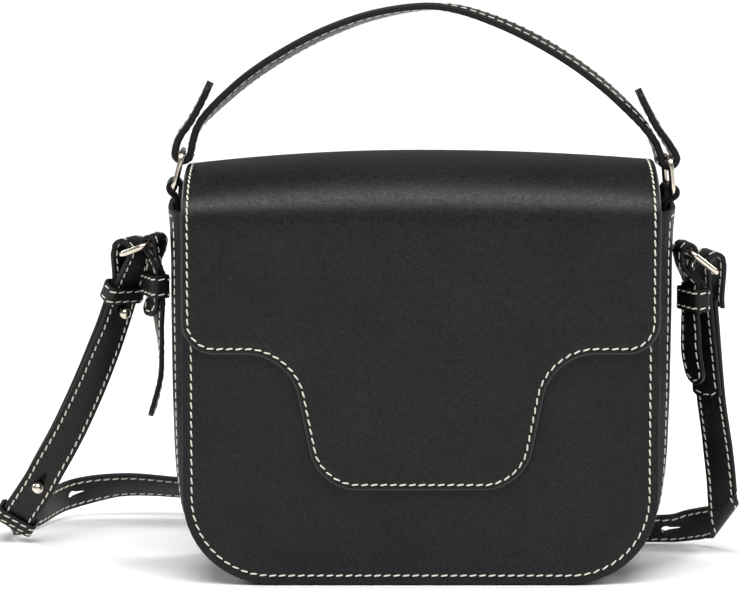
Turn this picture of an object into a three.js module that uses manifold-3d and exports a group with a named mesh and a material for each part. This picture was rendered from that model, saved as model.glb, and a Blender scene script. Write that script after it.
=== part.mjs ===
// Flap handbag of smooth leather with a top handle and a long adjustable shoulder strap.
// Millimetres, +Z up, front towards -Y, +X to the right as seen from the front, base on z = 0.
import * as THREE from 'three';
import Module from 'manifold-3d';

// Body: two panels and one gusset strip running down, under and up between them
const gap = 0.3;
const bodyLeather = 2.2;
const panelHalfWidth = 102;
const panelCorner = 37.5;
const panelLift = 0.4;
const frontPanelTop = 150;
const backPanelTop = 155;
const gussetHalfWidth = 101.6;
const gussetHalfDepth = 35;
const gussetLeather = 2;
const gussetTop = 160.6;
const gussetFlange = 9;
const gussetBend = 3;
const gussetLeftFullness = 0.86;
const gussetRightFullness = 1;

// Flap: sewn on the back panel, over the top, down the front to a stepped tongue
const flapLeather = 2.4;
const flapHalfWidth = 102.2;
const flapTaper = 2.8;
const flapHalfDepth = 40.3;
const flapSpring = 158;
const flapCrown = 25.4;
const flapLeftDroop = 6.2;
const flapRightDroop = 4.2;
const flapBackEdge = 132;
const flapShoulder = 100.8;
const flapTip = 41.8;
const flapCorner = 14;
const tongueHalfTop = 56.3;
const tongueHalfTip = 44.5;
const tongueFillet = 22;
const tongueCorner = 21;

// Handle, straps, keepers, wire rings and studs
const handleWidth = 13;
const handleLeather = 3;
const handleWire = 1.25;
const handleRingHalfWidth = 8.8;
const ringTabWidth = 13;
const ringTabLeather = 1.8;
const strapWidth = 15;
const strapLeather = 2.2;
const strapWire = 1.3;
const strapRingHalfWidth = 10;
const leftRingReach = 12.5;
const rightRingReach = 14.6;
const strapLoopTurn = 4.3;
const strapLoopRise = 1.1;
const layerShift = 1.3;
const layerGap = 0.1;
const sideTabWidth = 13;
const sideTabLeather = 2;
const keeperLeather = 1.3;
const keeperHeight = 10;
const chapeLeather = 2;
const chapeShift = 2.55;
const chapeOuterEnd = 112;
const chapeLoopTurn = 3.6;
const chapeLoopRise = 4;
const keeperCorner = 1.7;
const ringCorner = 3;
const keyholeRadius = 2.1;
const keyholeSlot = 1.7;
const keyholeLength = 9;
const keyholeOffset = 0.23;
const studBall = 2.6;
const studNeck = 1.2;
const studBase = 3;

const wasm = await Module();
wasm.setup();

const bag = new THREE.Group();
bag.name = 'flap_handbag';
const leather = new THREE.MeshStandardMaterial({ color: 0x2b2c2d, roughness: 0.5, metalness: 0 });
const wire = new THREE.MeshStandardMaterial({ color: 0xd9ccab, roughness: 0.25, metalness: 1 });

function vec(x, y, z) {
  return new THREE.Vector3(x, y, z);
}

function add(name, geometry, finish = leather) {
  const mesh = new THREE.Mesh(geometry, finish.clone());
  mesh.name = name;
  bag.add(mesh);
}

// Solid from points and triangles, turned so that its faces look outward
function solid(points, triangles) {
  let volume = 0;
  for (const [a, b, c] of triangles) {
    volume += points[a].dot(points[b].clone().cross(points[c]));
  }
  const faces = volume < 0 ? triangles.map(([a, b, c]) => [a, c, b]) : triangles;
  const geometry = new THREE.BufferGeometry();
  const values = points.flatMap((p) => p.toArray());
  geometry.setAttribute('position', new THREE.Float32BufferAttribute(values, 3));
  geometry.setIndex(faces.flat());
  return geometry;
}

// Leather sheet from rows of outer and inner points; a closed sheet joins its last row to its first
function sheet(rows, closed = false) {
  const across = rows[0].outer.length;
  const ring = 2 * across;
  const points = rows.flatMap((row) => [...row.outer, ...row.inner]);
  const triangles = [];
  const quad = (a, b, c, d) => triangles.push([a, b, c], [a, c, d]);
  const last = closed ? rows.length : rows.length - 1;
  for (let i = 0; i < last; i += 1) {
    const here = i * ring;
    const next = ((i + 1) % rows.length) * ring;
    for (let j = 0; j < across - 1; j += 1) {
      quad(here + j, here + j + 1, next + j + 1, next + j);
      quad(next + across + j, next + across + j + 1, here + across + j + 1, here + across + j);
    }
    quad(here + across, here, next, next + across);
    quad(here + across - 1, here + ring - 1, next + ring - 1, next + across - 1);
  }
  if (!closed) {
    const end = (rows.length - 1) * ring;
    for (let j = 0; j < across - 1; j += 1) {
      quad(j + 1, j, across + j, across + j + 1);
      quad(end + j, end + j + 1, end + across + j + 1, end + across + j);
    }
  }
  return solid(points, triangles);
}

// Round wire bent to a closed flat loop
function wireLoop(path, flat, radius) {
  const sides = 8;
  const points = [];
  const triangles = [];
  path.forEach((p, i) => {
    const before = path[(i + path.length - 1) % path.length];
    const after = path[(i + 1) % path.length];
    const along = after.clone().sub(before).normalize();
    const out = along.clone().cross(flat).normalize();
    for (let k = 0; k < sides; k += 1) {
      const angle = (2 * Math.PI * k) / sides;
      points.push(p.clone().addScaledVector(out, radius * Math.cos(angle))
        .addScaledVector(flat, radius * Math.sin(angle)));
    }
  });
  path.forEach((p, i) => {
    const here = i * sides;
    const next = ((i + 1) % path.length) * sides;
    for (let k = 0; k < sides; k += 1) {
      const n = (k + 1) % sides;
      triangles.push([here + k, here + n, next + n], [here + k, next + n, next + k]);
    }
  });
  return solid(points, triangles);
}

// Rectangle with rounded corners about a centre, in the plane of two unit directions
function roundedLoop(centre, u, v, halfU, halfV, radius, perCorner) {
  const path = [];
  const corners = [[1, 1, 0], [-1, 1, 90], [-1, -1, 180], [1, -1, 270]];
  for (const [su, sv, start] of corners) {
    for (let k = 0; k <= perCorner; k += 1) {
      const angle = THREE.MathUtils.degToRad(start + (90 * k) / perCorner);
      const a = su * (halfU - radius) + radius * Math.cos(angle);
      const b = sv * (halfV - radius) + radius * Math.sin(angle);
      path.push(centre.clone().addScaledVector(u, a).addScaledVector(v, b));
    }
  }
  return path;
}

// Frames along a leather strip: place, run, width and face directions
// Table columns: x, y, z of the middle line, x, y, z of the width direction, then the row's slant if any
function stripFrames(table, steps, roundStart = 0, roundEnd = 0) {
  const places = table.map((row) => vec(row[0], row[1], row[2]));
  const sides = table.map((row) => vec(row[3], row[4], row[5]));
  const path = new THREE.CatmullRomCurve3(places, false, 'centripetal');
  const widths = new THREE.CatmullRomCurve3(sides, false, 'centripetal');
  path.arcLengthDivisions = 400;
  const length = path.getLength();
  const slants = table.map((row) => row[6] || 0);
  const last = table.length - 1;
  const stops = new Set();
  const count = (table.length - 1) * steps;
  for (let k = 0; k <= count; k += 1) {
    stops.add(k / count);
  }
  for (const part of [0.05, 0.2, 0.45, 1]) {
    if (roundStart) stops.add(path.getUtoTmapping((roundStart * part) / length));
    if (roundEnd) stops.add(path.getUtoTmapping(1 - (roundEnd * part) / length));
  }
  const ordered = [...stops].sort((a, b) => a - b);
  const sorted = ordered.filter((t, i) => i === 0 || t - ordered[i - 1] > 2e-4);
  let travelled = 0;
  let before = null;
  return sorted.map((t) => {
    const place = path.getPoint(t);
    const run = path.getTangent(t);
    const width = widths.getPoint(t);
    width.addScaledVector(run, -width.dot(run)).normalize();
    const face = run.clone().cross(width);
    const i = Math.min(Math.floor(t * last), last - 1);
    const slant = THREE.MathUtils.lerp(slants[i], slants[i + 1], t * last - i);
    const across = width.clone().addScaledVector(run, slant);
    travelled += before ? place.distanceTo(before) : 0;
    before = place;
    return { place, run, width, face, across, start: travelled, end: length - travelled };
  });
}

// Strip of leather along frames, with rounded or square ends
function strip(frames, width, thickness, roundStart = 0, roundEnd = 0) {
  const narrowed = (distance, round) => {
    if (!round || distance >= round) return width / 2;
    const left = 1 - distance / round;
    return (width / 2) * Math.max(0.3, Math.sqrt(1 - left * left));
  };
  return sheet(frames.map((f) => {
    const half = Math.min(narrowed(f.start, roundStart), narrowed(f.end, roundEnd));
    const edge = (side, depth) => f.place.clone().addScaledVector(f.across, side * half)
      .addScaledVector(f.face, (depth * thickness) / 2);
    return { outer: [edge(-1, 1), edge(1, 1)], inner: [edge(-1, -1), edge(1, -1)] };
  }));
}

// Frames shifted along their face direction, as for a second layer
function shifted(frames, distance) {
  return frames.map((f) => ({ ...f, place: f.place.clone().addScaledVector(f.face, distance) }));
}

function tableRows(frames) {
  return frames.map((f) => [...f.place.toArray(), ...f.width.toArray()]);
}

// Rows of a strip table curling about a line that leans from its run, as where a strap turns a corner
function curlRows(outermost, run, width, lean, turn, radius, count) {
  const axis = run.clone().multiplyScalar(Math.cos(lean)).addScaledVector(width, -Math.sin(lean));
  const last = run.clone().multiplyScalar(Math.sin(lean)).addScaledVector(width, Math.cos(lean));
  const face = run.clone().cross(width);
  const radial = (angle) => face.clone().multiplyScalar(Math.cos(angle))
    .addScaledVector(last, -Math.sin(angle));
  const centre = outermost.clone().addScaledVector(radial(turn / 2), -radius);
  const rows = [];
  for (let k = 0; k <= count; k += 1) {
    const angle = turn * (1 - k / count);
    const place = centre.clone().addScaledVector(radial(angle), radius)
      .addScaledVector(axis, (radius * (turn / 2 - angle)) / Math.tan(lean));
    const ahead = face.clone().multiplyScalar(Math.sin(angle)).addScaledVector(last, Math.cos(angle));
    const across = ahead.multiplyScalar(Math.cos(lean)).addScaledVector(axis, -Math.sin(lean));
    rows.push([...place.toArray(), ...across.toArray(), -1 / Math.tan(lean)]);
  }
  return rows;
}

// Rows of a strip table on an arc about a bar
function arcRows(centre, side, up, width, radius, from, to, count) {
  const rows = [];
  for (let k = 0; k <= count; k += 1) {
    const angle = THREE.MathUtils.degToRad(from + ((to - from) * k) / count);
    const p = centre.clone().addScaledVector(side, radius * Math.cos(angle))
      .addScaledVector(up, radius * Math.sin(angle));
    rows.push([...p.toArray(), ...width.toArray()]);
  }
  return rows;
}

function toManifold(geometry) {
  const position = geometry.getAttribute('position');
  const index = geometry.getIndex();
  const places = new Map();
  const points = [];
  const triangles = [];
  for (let k = 0; k < (index ? index.count : position.count); k += 1) {
    const i = index ? index.getX(k) : k;
    const p = [position.getX(i), position.getY(i), position.getZ(i)];
    const key = p.map((value) => Math.round(value * 1e4)).join(',');
    if (!places.has(key)) {
      places.set(key, points.length / 3);
      points.push(...p);
    }
    triangles.push(places.get(key));
  }
  const vertProperties = new Float32Array(points);
  const triVerts = new Uint32Array(triangles);
  return new wasm.Manifold(new wasm.Mesh({ numProp: 3, vertProperties, triVerts }));
}

function cutAway(geometry, cutters) {
  let body = toManifold(geometry);
  for (const cutter of cutters) {
    body = body.subtract(toManifold(cutter));
  }
  const mesh = body.getMesh();
  const result = new THREE.BufferGeometry();
  result.setAttribute('position', new THREE.Float32BufferAttribute(mesh.vertProperties, 3));
  result.setIndex([...mesh.triVerts]);
  return result;
}

// Front and back panels: upright plates with two rounded lower corners
function panel(top, inner) {
  const outline = new THREE.Shape();
  const low = panelLift;
  outline.moveTo(-panelHalfWidth, top);
  outline.lineTo(-panelHalfWidth, low + panelCorner);
  outline.absarc(-panelHalfWidth + panelCorner, low + panelCorner, panelCorner, Math.PI, 1.5 * Math.PI);
  outline.absarc(panelHalfWidth - panelCorner, low + panelCorner, panelCorner, 1.5 * Math.PI, 2 * Math.PI);
  outline.lineTo(panelHalfWidth, top);
  const thick = { depth: bodyLeather, bevelEnabled: false, curveSegments: 10 };
  const plate = new THREE.ExtrudeGeometry(outline, thick);
  plate.rotateX(Math.PI / 2);
  plate.translate(0, inner, 0);
  return plate;
}

const panelInner = gussetHalfDepth + gap;
add('front_panel', panel(frontPanelTop, -panelInner));
add('back_panel', panel(backPanelTop, panelInner + bodyLeather));

// Gusset: U-shaped strip with both margins turned in behind the panels, bulging at the sides
// Bulge table columns: height, outward bulge at mid depth
const bulgeTable = [
  [0, 0], [20, 0.8], [30, 2.4], [38, 3.6], [46, 4.8], [56, 5.6], [80, 6.4], [118, 6.9], [140, 6.9],
  [152, 7.4], [gussetTop, 8.2],
];

function bulgeAt(z) {
  for (let i = 1; i < bulgeTable.length; i += 1) {
    const [z0, b0] = bulgeTable[i - 1];
    const [z1, b1] = bulgeTable[i];
    if (z <= z1) return b0 + ((b1 - b0) * (z - z0)) / (z1 - z0);
  }
  return bulgeTable.at(-1)[1];
}

// Section of the strip from front to back; columns: outer bulge, outer depth, inner bulge, inner depth
function gussetSection(bulge) {
  const flat = gussetHalfDepth - gussetBend;
  const bendInner = gussetBend - gussetLeather;
  const margin = [[-gussetFlange, gussetHalfDepth, -gussetFlange, gussetHalfDepth - gussetLeather]];
  for (const degrees of [0, 30, 60, 90]) {
    const c = Math.cos(THREE.MathUtils.degToRad(degrees));
    const s = Math.sin(THREE.MathUtils.degToRad(degrees));
    const outer = [gussetBend * (s - 1), flat + gussetBend * c];
    margin.push([...outer, bendInner * s - gussetBend, flat + bendInner * c]);
  }
  const middle = [-29, -22, -11, 0, 11, 22, 29].map((y) => {
    const out = bulge * (1 - (y / flat) ** 4);
    return [out, y, out - gussetLeather, y];
  });
  const front = margin.map(([a, y, b, w]) => [a, -y, b, -w]);
  const back = [...margin].reverse();
  const section = [...front, ...middle, ...back];
  return { outer: section.map((row) => row.slice(0, 2)), inner: section.map((row) => row.slice(2)) };
}

const gussetLine = [];
for (const z of [gussetTop, 152, 140, 118, 96, 80, 68, 56, 46]) {
  gussetLine.push([-gussetHalfWidth, z, -1, 0]);
}
for (let k = 0; k <= 10; k += 1) {
  const angle = Math.PI + (Math.PI / 2) * (k / 10);
  gussetLine.push([panelCorner - gussetHalfWidth + panelCorner * Math.cos(angle),
    panelCorner + panelCorner * Math.sin(angle), Math.cos(angle), Math.sin(angle)]);
}
const mirrored = gussetLine.map(([x, z, nx, nz]) => [-x, z, -nx, nz]).reverse();
const gussetRows = [...gussetLine, ...mirrored].map(([x, z, nx, nz]) => {
  const fullness = x < 0 ? gussetLeftFullness : gussetRightFullness;
  const section = gussetSection(fullness * bulgeAt(z));
  const place = ([out, y]) => vec(x + nx * out, y, z + nz * out);
  return { outer: section.outer.map(place), inner: section.inner.map(place) };
});
add('gusset', sheet(gussetRows));

// Flap: one sheet bent over the top, its front trimmed to shoulders and a tongue
function flapRows() {
  const columns = 12;
  const line = [[1, flapBackEdge]];
  for (let k = 0; k <= 12; k += 1) {
    line.push([Math.PI * (k / 12)]);
  }
  line.push([-1, flapTip]);
  const outline = (part, share, inset) => {
    const rise = flapCrown - (share < 0 ? flapLeftDroop : flapRightDroop) * share ** 2;
    if (part.length === 2) {
      const half = part[0] > 0 ? flapHalfWidth - flapTaper : flapHalfWidth;
      return vec(share * half, part[0] * (flapHalfDepth - inset), part[1]);
    }
    const c = Math.cos(part[0]);
    const s = Math.sin(part[0]);
    const x = share * (flapHalfWidth - (flapTaper * (1 + c)) / 2);
    const slope = Math.hypot(rise * c, flapHalfDepth * s);
    const y = flapHalfDepth * c - (inset * rise * c) / slope;
    return vec(x, y, flapSpring + rise * s - (inset * flapHalfDepth * s) / slope);
  };
  const across = [...Array(columns + 1).keys()].map((k) => (2 * k) / columns - 1);
  return line.map((part) => ({
    outer: across.map((share) => outline(part, share, 0)),
    inner: across.map((share) => outline(part, share, flapLeather)),
  }));
}

// Waste piece trimmed off beside the tongue, drawn as a front-view outline
function tongueCutter(side) {
  const lean = Math.atan2(tongueHalfTop - tongueHalfTip, flapShoulder - flapTip);
  const turn = Math.PI / 4 - lean / 2;
  const filletReach = tongueFillet * Math.tan(turn);
  const cornerReach = tongueCorner * Math.tan(turn);
  const filletX = tongueHalfTop + filletReach;
  const cornerX = tongueHalfTip - cornerReach;
  const outline = new THREE.Shape();
  outline.moveTo(flapHalfWidth + 5, flapShoulder + flapCorner);
  outline.lineTo(flapHalfWidth, flapShoulder + flapCorner);
  outline.absarc(flapHalfWidth - flapCorner, flapShoulder + flapCorner, flapCorner, 0, -Math.PI / 2, true);
  outline.absarc(filletX, flapShoulder - tongueFillet, tongueFillet, Math.PI / 2, Math.PI - lean);
  outline.absarc(cornerX, flapTip + tongueCorner, tongueCorner, -lean, -Math.PI / 2, true);
  outline.lineTo(cornerX, flapTip - 5);
  outline.lineTo(flapHalfWidth + 5, flapTip - 5);
  const block = new THREE.ExtrudeGeometry(outline, { depth: 12, bevelEnabled: false, curveSegments: 9 });
  block.rotateX(Math.PI / 2);
  block.translate(0, 6 - flapHalfDepth, 0);
  if (side > 0) return block;
  const flipped = block.clone().rotateZ(Math.PI);
  flipped.translate(0, -2 * flapHalfDepth, 0);
  return flipped;
}

add('flap', cutAway(sheet(flapRows()), [tongueCutter(1), tongueCutter(-1)]));

// Handle: one strap whose ends pass round the ring bars and return upward as short tails
// Table columns: x, y, z of the middle line, then x, y, z of the width direction, left end first
const sideways = vec(1, 0, 0);
const upward = vec(0, 0, 1);
const leftBar = vec(-102.4, 0, 183);
const rightBar = vec(106.4, 0, 180.6);
const handleTable = [
  [-90.3, 0, 213.3, 0, 1, 0], [-95, 0, 203.8, 0, 1, 0], [-99.2, 0, 196.4, 0, 1, 0],
  [-104, 0, 189.4, 0, 1, 0],
  ...arcRows(leftBar, sideways, upward, vec(0, 1, 0), 3.4, 165, 360, 6),
  [-98, 0, 188, 0, 1, 0], [-95.8, 0, 194, 0.03, 1, -0.06], [-91.3, 0, 199.6, 0.14, 1, -0.15],
  [-75.2, 0, 214.2, 0.23, 1, -0.25], [-58.8, 0, 225.3, 0.2, 1, -0.29], [-40.2, 0, 235, 0.14, 1, -0.31],
  [-19.5, 0, 242.4, 0.06, 1, -0.26], [3.1, 0, 246, 0, 1, -0.13], [16.1, 0, 244.8, 0, 1, 0],
  [32.7, 0, 239.5, 0.03, 1, 0.09], [49.2, 0, 231.8, 0.06, 1, 0.12], [65.7, 0, 221.8, 0.08, 1, 0.11],
  [79.1, 0, 211.6, 0.09, 1, 0.1], [90.4, 0, 201, 0.08, 1, 0.07], [97, 0, 193.6, 0.03, 1, 0.02],
  [101, 0, 187, -0.1, 1, 0],
  ...arcRows(rightBar, sideways, upward, vec(-0.12, 1, 0), 3.4, 170, 375, 6),
  [106, 0, 188, -0.1, 1, 0], [102.6, 0, 193.2, 0, 1, 0], [98.2, 0, 201, 0, 1, 0],
  [93.6, 0, 210.2, 0, 1, 0],
];
const handleEnd = 4;
const handleFrames = stripFrames(handleTable, 2, handleEnd, handleEnd);
add('handle', strip(handleFrames, handleWidth, handleLeather, handleEnd, handleEnd));

// Handle rings: rounded wire rectangles between the handle ends and the ring tabs
function wireRing(barA, barB, along, halfWidth, radius) {
  const reach = barB.clone().sub(barA);
  const half = reach.length() / 2;
  const centre = barA.clone().addScaledVector(reach, 0.5);
  const across = reach.clone().normalize();
  const flat = along.clone().cross(across).normalize();
  const path = roundedLoop(centre, along, across, halfWidth, half, ringCorner, 4);
  return wireLoop(path, flat, radius);
}

const leftLow = vec(-106, 0, 168);
const rightLow = vec(107.6, 0, 166);
const leftFlat = vec(0, 1, 0);
const rightFlat = vec(-0.12, 0.993, 0);
add('handle_ring_left', wireRing(leftLow, leftBar, leftFlat, handleRingHalfWidth, handleWire), wire);
add('handle_ring_right', wireRing(rightLow, rightBar, rightFlat, handleRingHalfWidth, handleWire), wire);

// Ring tabs: strips looped round the lower ring bars, both legs sewn inside the gusset top
function ringTab(bar, side, width) {
  const turn = handleWire + 0.6 + ringTabLeather / 2;
  const row = (x, z) => [side * x, 0, z, ...width];
  const legs = [row(103.8, 147), row(104.6, 156.5), row(105.4, bar.z - 5)];
  const back = [row(103.2, bar.z - 5), row(102.4, 156.5), row(101.4, 147)];
  const loop = arcRows(bar, sideways.clone().multiplyScalar(side), upward, vec(...width), turn, -35, 205, 7);
  const frames = stripFrames([...legs, ...loop, ...back], 1);
  return strip(frames, ringTabWidth, ringTabLeather);
}

add('ring_tab_left', ringTab(leftLow, -1, [0, 1, 0]));
add('ring_tab_right', ringTab(rightLow, 1, [-0.12, 0.993, 0]));

// Strap rings: wire rectangles lying outward from the gusset, bar A in the side tab, bar B in the strap
const leftAlong = vec(0.375, 0.927, 0);
const leftBarA = vec(-115, -4, 144);
const leftBarB = leftBarA.clone().addScaledVector(vec(-0.859, 0.348, -0.375), leftRingReach);
const rightAlong = vec(-0.259, 0.966, 0);
const rightBarA = vec(114.5, -3, 140.5);
const rightBarB = rightBarA.clone().addScaledVector(vec(0.761, 0.204, -0.616), rightRingReach);
add('strap_ring_left', wireRing(leftBarA, leftBarB, leftAlong, strapRingHalfWidth, strapWire), wire);
add('strap_ring_right', wireRing(rightBarA, rightBarB, rightAlong, strapRingHalfWidth, strapWire), wire);

// Side tabs: strips round bar A, both legs through the side keeper; the inner leg is the long tail
// Table columns: x, y, z of the middle line, then x, y, z of the width direction, tail end first
const tabTurn = strapWire + 0.75 + sideTabLeather / 2;
const leftTabTable = [
  [-116.9, -3, 67.8, 0.1, 0.995, 0], [-114.5, -3, 76, 0.06, 1, 0], [-112.4, -3, 86, 0, 1, 0],
  [-112.2, -3, 97, -0.08, 1, 0], [-113, -2.8, 108, -0.25, 0.97, 0],
  [-113.4, -2.52, 117, -0.4, 0.917, 0], [-113.4, -2.52, 120.2, -0.4, 0.917, 0],
  [-113.4, -2.52, 130.8, -0.4, 0.917, 0], [-113.4, -2.52, 132.4, -0.4, 0.917, 0],
  [-112.2, -3.4, 139, 0.2, 0.98, 0],
  ...arcRows(leftBarA, vec(0.927, -0.375, 0), upward, leftAlong, tabTurn, 0, 200, 6),
  [-115.9, -3.6, 138.6, 0.1, 0.995, 0], [-115.6, -3.48, 132.4, -0.4, 0.917, 0],
  [-115.6, -3.48, 130.8, -0.4, 0.917, 0], [-115.6, -3.48, 120.2, -0.4, 0.917, 0],
  [-115.6, -3.48, 118.5, -0.4, 0.917, 0], [-116.5, -3.8, 115.3, -0.5, 0.866, 0],
  [-117.7, -4.2, 112, -0.58, 0.81, 0],
];
const rightTabTable = [
  [120.6, -4.2, 82, -0.57, 0.82, 0], [118.8, -4, 89, -0.57, 0.82, 0], [117.5, -3.8, 97, -0.57, 0.82, 0],
  [117.3, -3.7, 105, -0.55, 0.835, 0], [117.06, -3.7, 111.5, -0.5, 0.866, 0],
  [117.06, -3.7, 114, -0.5, 0.866, 0], [117.06, -3.7, 124.8, -0.5, 0.866, 0],
  [117.06, -3.7, 126.2, -0.5, 0.866, 0], [112.4, -3, 134, -0.15, 0.99, 0],
  ...arcRows(rightBarA, vec(-0.966, -0.259, 0), upward, rightAlong, tabTurn, 0, 200, 6),
  [115.4, -2.9, 134.6, -0.15, 0.99, 0], [119.14, -2.5, 126.2, -0.5, 0.866, 0],
  [119.14, -2.5, 124.8, -0.5, 0.866, 0], [119.14, -2.5, 114, -0.5, 0.866, 0],
  [119.14, -2.5, 112, -0.5, 0.866, 0],
];
const tabRound = 6;
function sideTab(table) {
  return strip(stripFrames(table, 2, tabRound, tabRound), sideTabWidth, sideTabLeather, tabRound, tabRound);
}

add('side_tab_left', sideTab(leftTabTable));
add('side_tab_right', sideTab(rightTabTable));

// Keepers: closed leather bands round two layers of strap or tab
function keeper(centre, across, axis, halfWidth, halfDepth, height) {
  const depth = axis.clone().cross(across).normalize();
  const middle = keeperLeather / 2;
  const path = roundedLoop(centre, across, depth, halfWidth + middle, halfDepth + middle, keeperCorner, 4);
  return sheet(path.map((p, i) => {
    const before = path[(i + path.length - 1) % path.length];
    const after = path[(i + 1) % path.length];
    const out = after.clone().sub(before).cross(axis).normalize();
    const edge = (side, end) => p.clone().addScaledVector(out, side * middle)
      .addScaledVector(axis, (end * height) / 2);
    return { outer: [edge(1, -1), edge(1, 1)], inner: [edge(-1, -1), edge(-1, 1)] };
  }), true);
}

const tabLayers = 1.2 + sideTabLeather / 2 + 0.5;
function sideKeeper(centre, across) {
  return keeper(centre, across, upward, sideTabWidth / 2 + 0.6, tabLayers, keeperHeight);
}

add('side_keeper_left', sideKeeper(vec(-114.5, -3, 125.5), vec(-0.4, 0.917, 0)));
add('side_keeper_right', sideKeeper(vec(118.1, -3.1, 119.4), vec(-0.5, 0.866, 0)));

// Shoulder strap: doubled through the left ring, down to the floor, round behind the bag, up to the chape
// Left run: middle of the two layers, from the lower keeper up to the ring
const leftRun = [
  [-181.9, 56.3, 7.5, 0.88, 0.02, -0.47], [-179.6, 54, 11.1, 0.88, 0.02, -0.47],
  [-176.6, 51, 15.9, 0.88, 0.02, -0.47], [-168.3, 45, 29.1, 0.88, 0.03, -0.47],
  [-164.7, 42.5, 36, 0.88, 0.05, -0.47], [-155.5, 37, 53.2, 0.85, 0.25, -0.46],
  [-145.1, 28.5, 76.2, 0.79, 0.43, -0.43], [-137.3, 20.5, 96.1, 0.73, 0.57, -0.37],
  [-134.1, 16.5, 105, 0.69, 0.66, -0.31], [-131.3, 13.2, 113.4, 0.68, 0.67, -0.28],
  [-129, 10.5, 120.5, 0.68, 0.67, -0.28], [-126.8, 8.2, 125.9, 0.67, 0.68, -0.25],
];
const leftFold = [
  [-183.4, 60.4, 7.5, 0.75, -0.21, -0.62], [-184, 63.5, 7.7, 0.55, -0.25, -0.8],
  [-183.4, 66.7, 7.9, 0.33, -0.15, -0.93], [-181.4, 69.9, 8, 0.15, 0.05, -0.99],
  [-172, 84.5, 8.3, -0.05, 0.1, -0.99],
];
const floorRun = [
  [-158.3, 108.4, 11.1, -0.14, 0.21, -0.97], [-136, 113.5, 14.5, -0.12, 0.6, -0.79],
  [-110.8, 112.7, 13.7, 0, 0.7, -0.7], [-61.3, 103.1, 9.8, 0.17, 0.65, -0.74],
  [-1.5, 84, 7.6, 0.2, 0.53, -0.82], [53.6, 62.3, 7.4, 0.18, 0.49, -0.85],
  [91.1, 50, 7.4, 0.12, 0.48, -0.87], [110, 48.4, 7.5, 0.06, 0.46, -0.88],
  [115.6, 49, 7.8, 0.14, 0.38, -0.91], [121.3, 47.6, 9.2, 0.26, 0.22, -0.94],
  [127.8, 42.8, 11.3, 0.33, 0.08, -0.94, -0.85],
];
// Right fold: the strap curls over from the floor run into the right run
const foldRun = vec(-0.08, -0.25, 0.97).normalize();
const foldWidth = vec(-0.816, 0.572, 0.08).normalize();
const foldLean = THREE.MathUtils.degToRad(36);
const foldPlace = vec(135.2, 33, 14.6);
const rightFold = curlRows(foldPlace, foldRun, foldWidth, foldLean, Math.PI, 2.6, 6);
const rightRun = [
  [133.7, 27, 26.5, -0.82, 0.57, 0.08, -0.75], [132.9, 24.8, 35.2, -0.82, 0.56, 0.1],
  [130.8, 23, 52.2, -0.82, 0.55, 0.15], [127.5, 15.5, 73.2, -0.79, 0.6, 0.12],
  [125.9, 11.9, 92, -0.72, 0.68, 0.1], [125.2, 8.8, 107, -0.6, 0.79, 0.08],
  [124.8, 5.8, 119.5, -0.47, 0.88, 0.05],
];
const runFrames = stripFrames(leftRun, 1);
const frontLayer = tableRows(shifted(runFrames, -layerShift));
const rearLayer = tableRows(shifted(runFrames, layerShift)).reverse();
const strapLoop = leftBarB.clone().add(vec(0.1, 0.3, strapLoopRise));
const strapLoopWidth = vec(0.5, 0.866, 0);
const strapTurn = arcRows(strapLoop, vec(0.866, -0.5, 0), upward, strapLoopWidth, strapLoopTurn, 0, 180, 6);
const doubled = [...frontLayer, ...strapTurn, ...rearLayer];
const strapTable = [...doubled, ...leftFold, ...floorRun, ...rightFold, ...rightRun];
const strapFrames = stripFrames(strapTable, 2, 3, 0);

// Keyhole cut: a round hole with a slot, or a plain hole, through one layer
function keyhole(frame, slotted, from, depth) {
  const outline = new THREE.Shape();
  if (slotted) {
    const half = Math.asin(keyholeSlot / 2 / keyholeRadius);
    outline.absarc(0, 0, keyholeRadius, half, 2 * Math.PI - half);
    outline.absarc(keyholeLength - keyholeRadius, 0, keyholeSlot / 2, -Math.PI / 2, Math.PI / 2);
  } else {
    outline.absarc(0, 0, keyholeRadius, 0, 1.999 * Math.PI);
  }
  const cutter = new THREE.ExtrudeGeometry(outline, { depth, bevelEnabled: false, curveSegments: 6 });
  const place = new THREE.Matrix4().makeBasis(frame.run, frame.width, frame.face);
  const start = frame.place.clone().addScaledVector(frame.face, from);
  place.setPosition(start.addScaledVector(frame.run, keyholeOffset));
  cutter.applyMatrix4(place);
  return cutter;
}

function frameAt(frames, point) {
  return frames.reduce((best, f) => (f.place.distanceTo(point) < best.place.distanceTo(point) ? f : best));
}

const upperStud = runFrames[9];
const lowerStud = runFrames[3];
const keyholes = [
  keyhole(upperStud, true, -4, 4 - layerGap), keyhole(upperStud, false, 0, 4),
  keyhole(lowerStud, true, -4, 4 - layerGap), keyhole(lowerStud, false, 0, 4),
  keyhole(frameAt(strapFrames, vec(-158.3, 108.4, 11.1)), true, -3, 6),
  keyhole(frameAt(strapFrames, vec(110, 48.4, 7.5)), true, -3, 6),
];
add('strap', cutAway(strip(strapFrames, strapWidth, strapLeather, 3, 0), keyholes));

// Chape: folded strip round bar B of the right ring, the strap end sewn between its legs
const chapeRun = stripFrames(rightRun.slice(3), 3);
const chapeInner = tableRows(shifted(chapeRun, chapeShift));
const chapeBack = tableRows(shifted(chapeRun, -chapeShift - 1)).reverse();
const chapeOuter = chapeBack.filter((row) => row[2] > chapeOuterEnd);
const chapeLoop = rightBarB.clone().addScaledVector(upward, chapeLoopRise);
const chapeLoopWidth = vec(-0.34, 0.94, 0);
const chapeArc = arcRows(chapeLoop, vec(-0.94, -0.34, 0), upward, chapeLoopWidth, chapeLoopTurn, 0, 180, 6);
const chapeFrames = stripFrames([...chapeInner, ...chapeArc, ...chapeOuter], 1, 3, 0);
add('strap_chape', strip(chapeFrames, strapWidth, chapeLeather, 3, 0));

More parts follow.
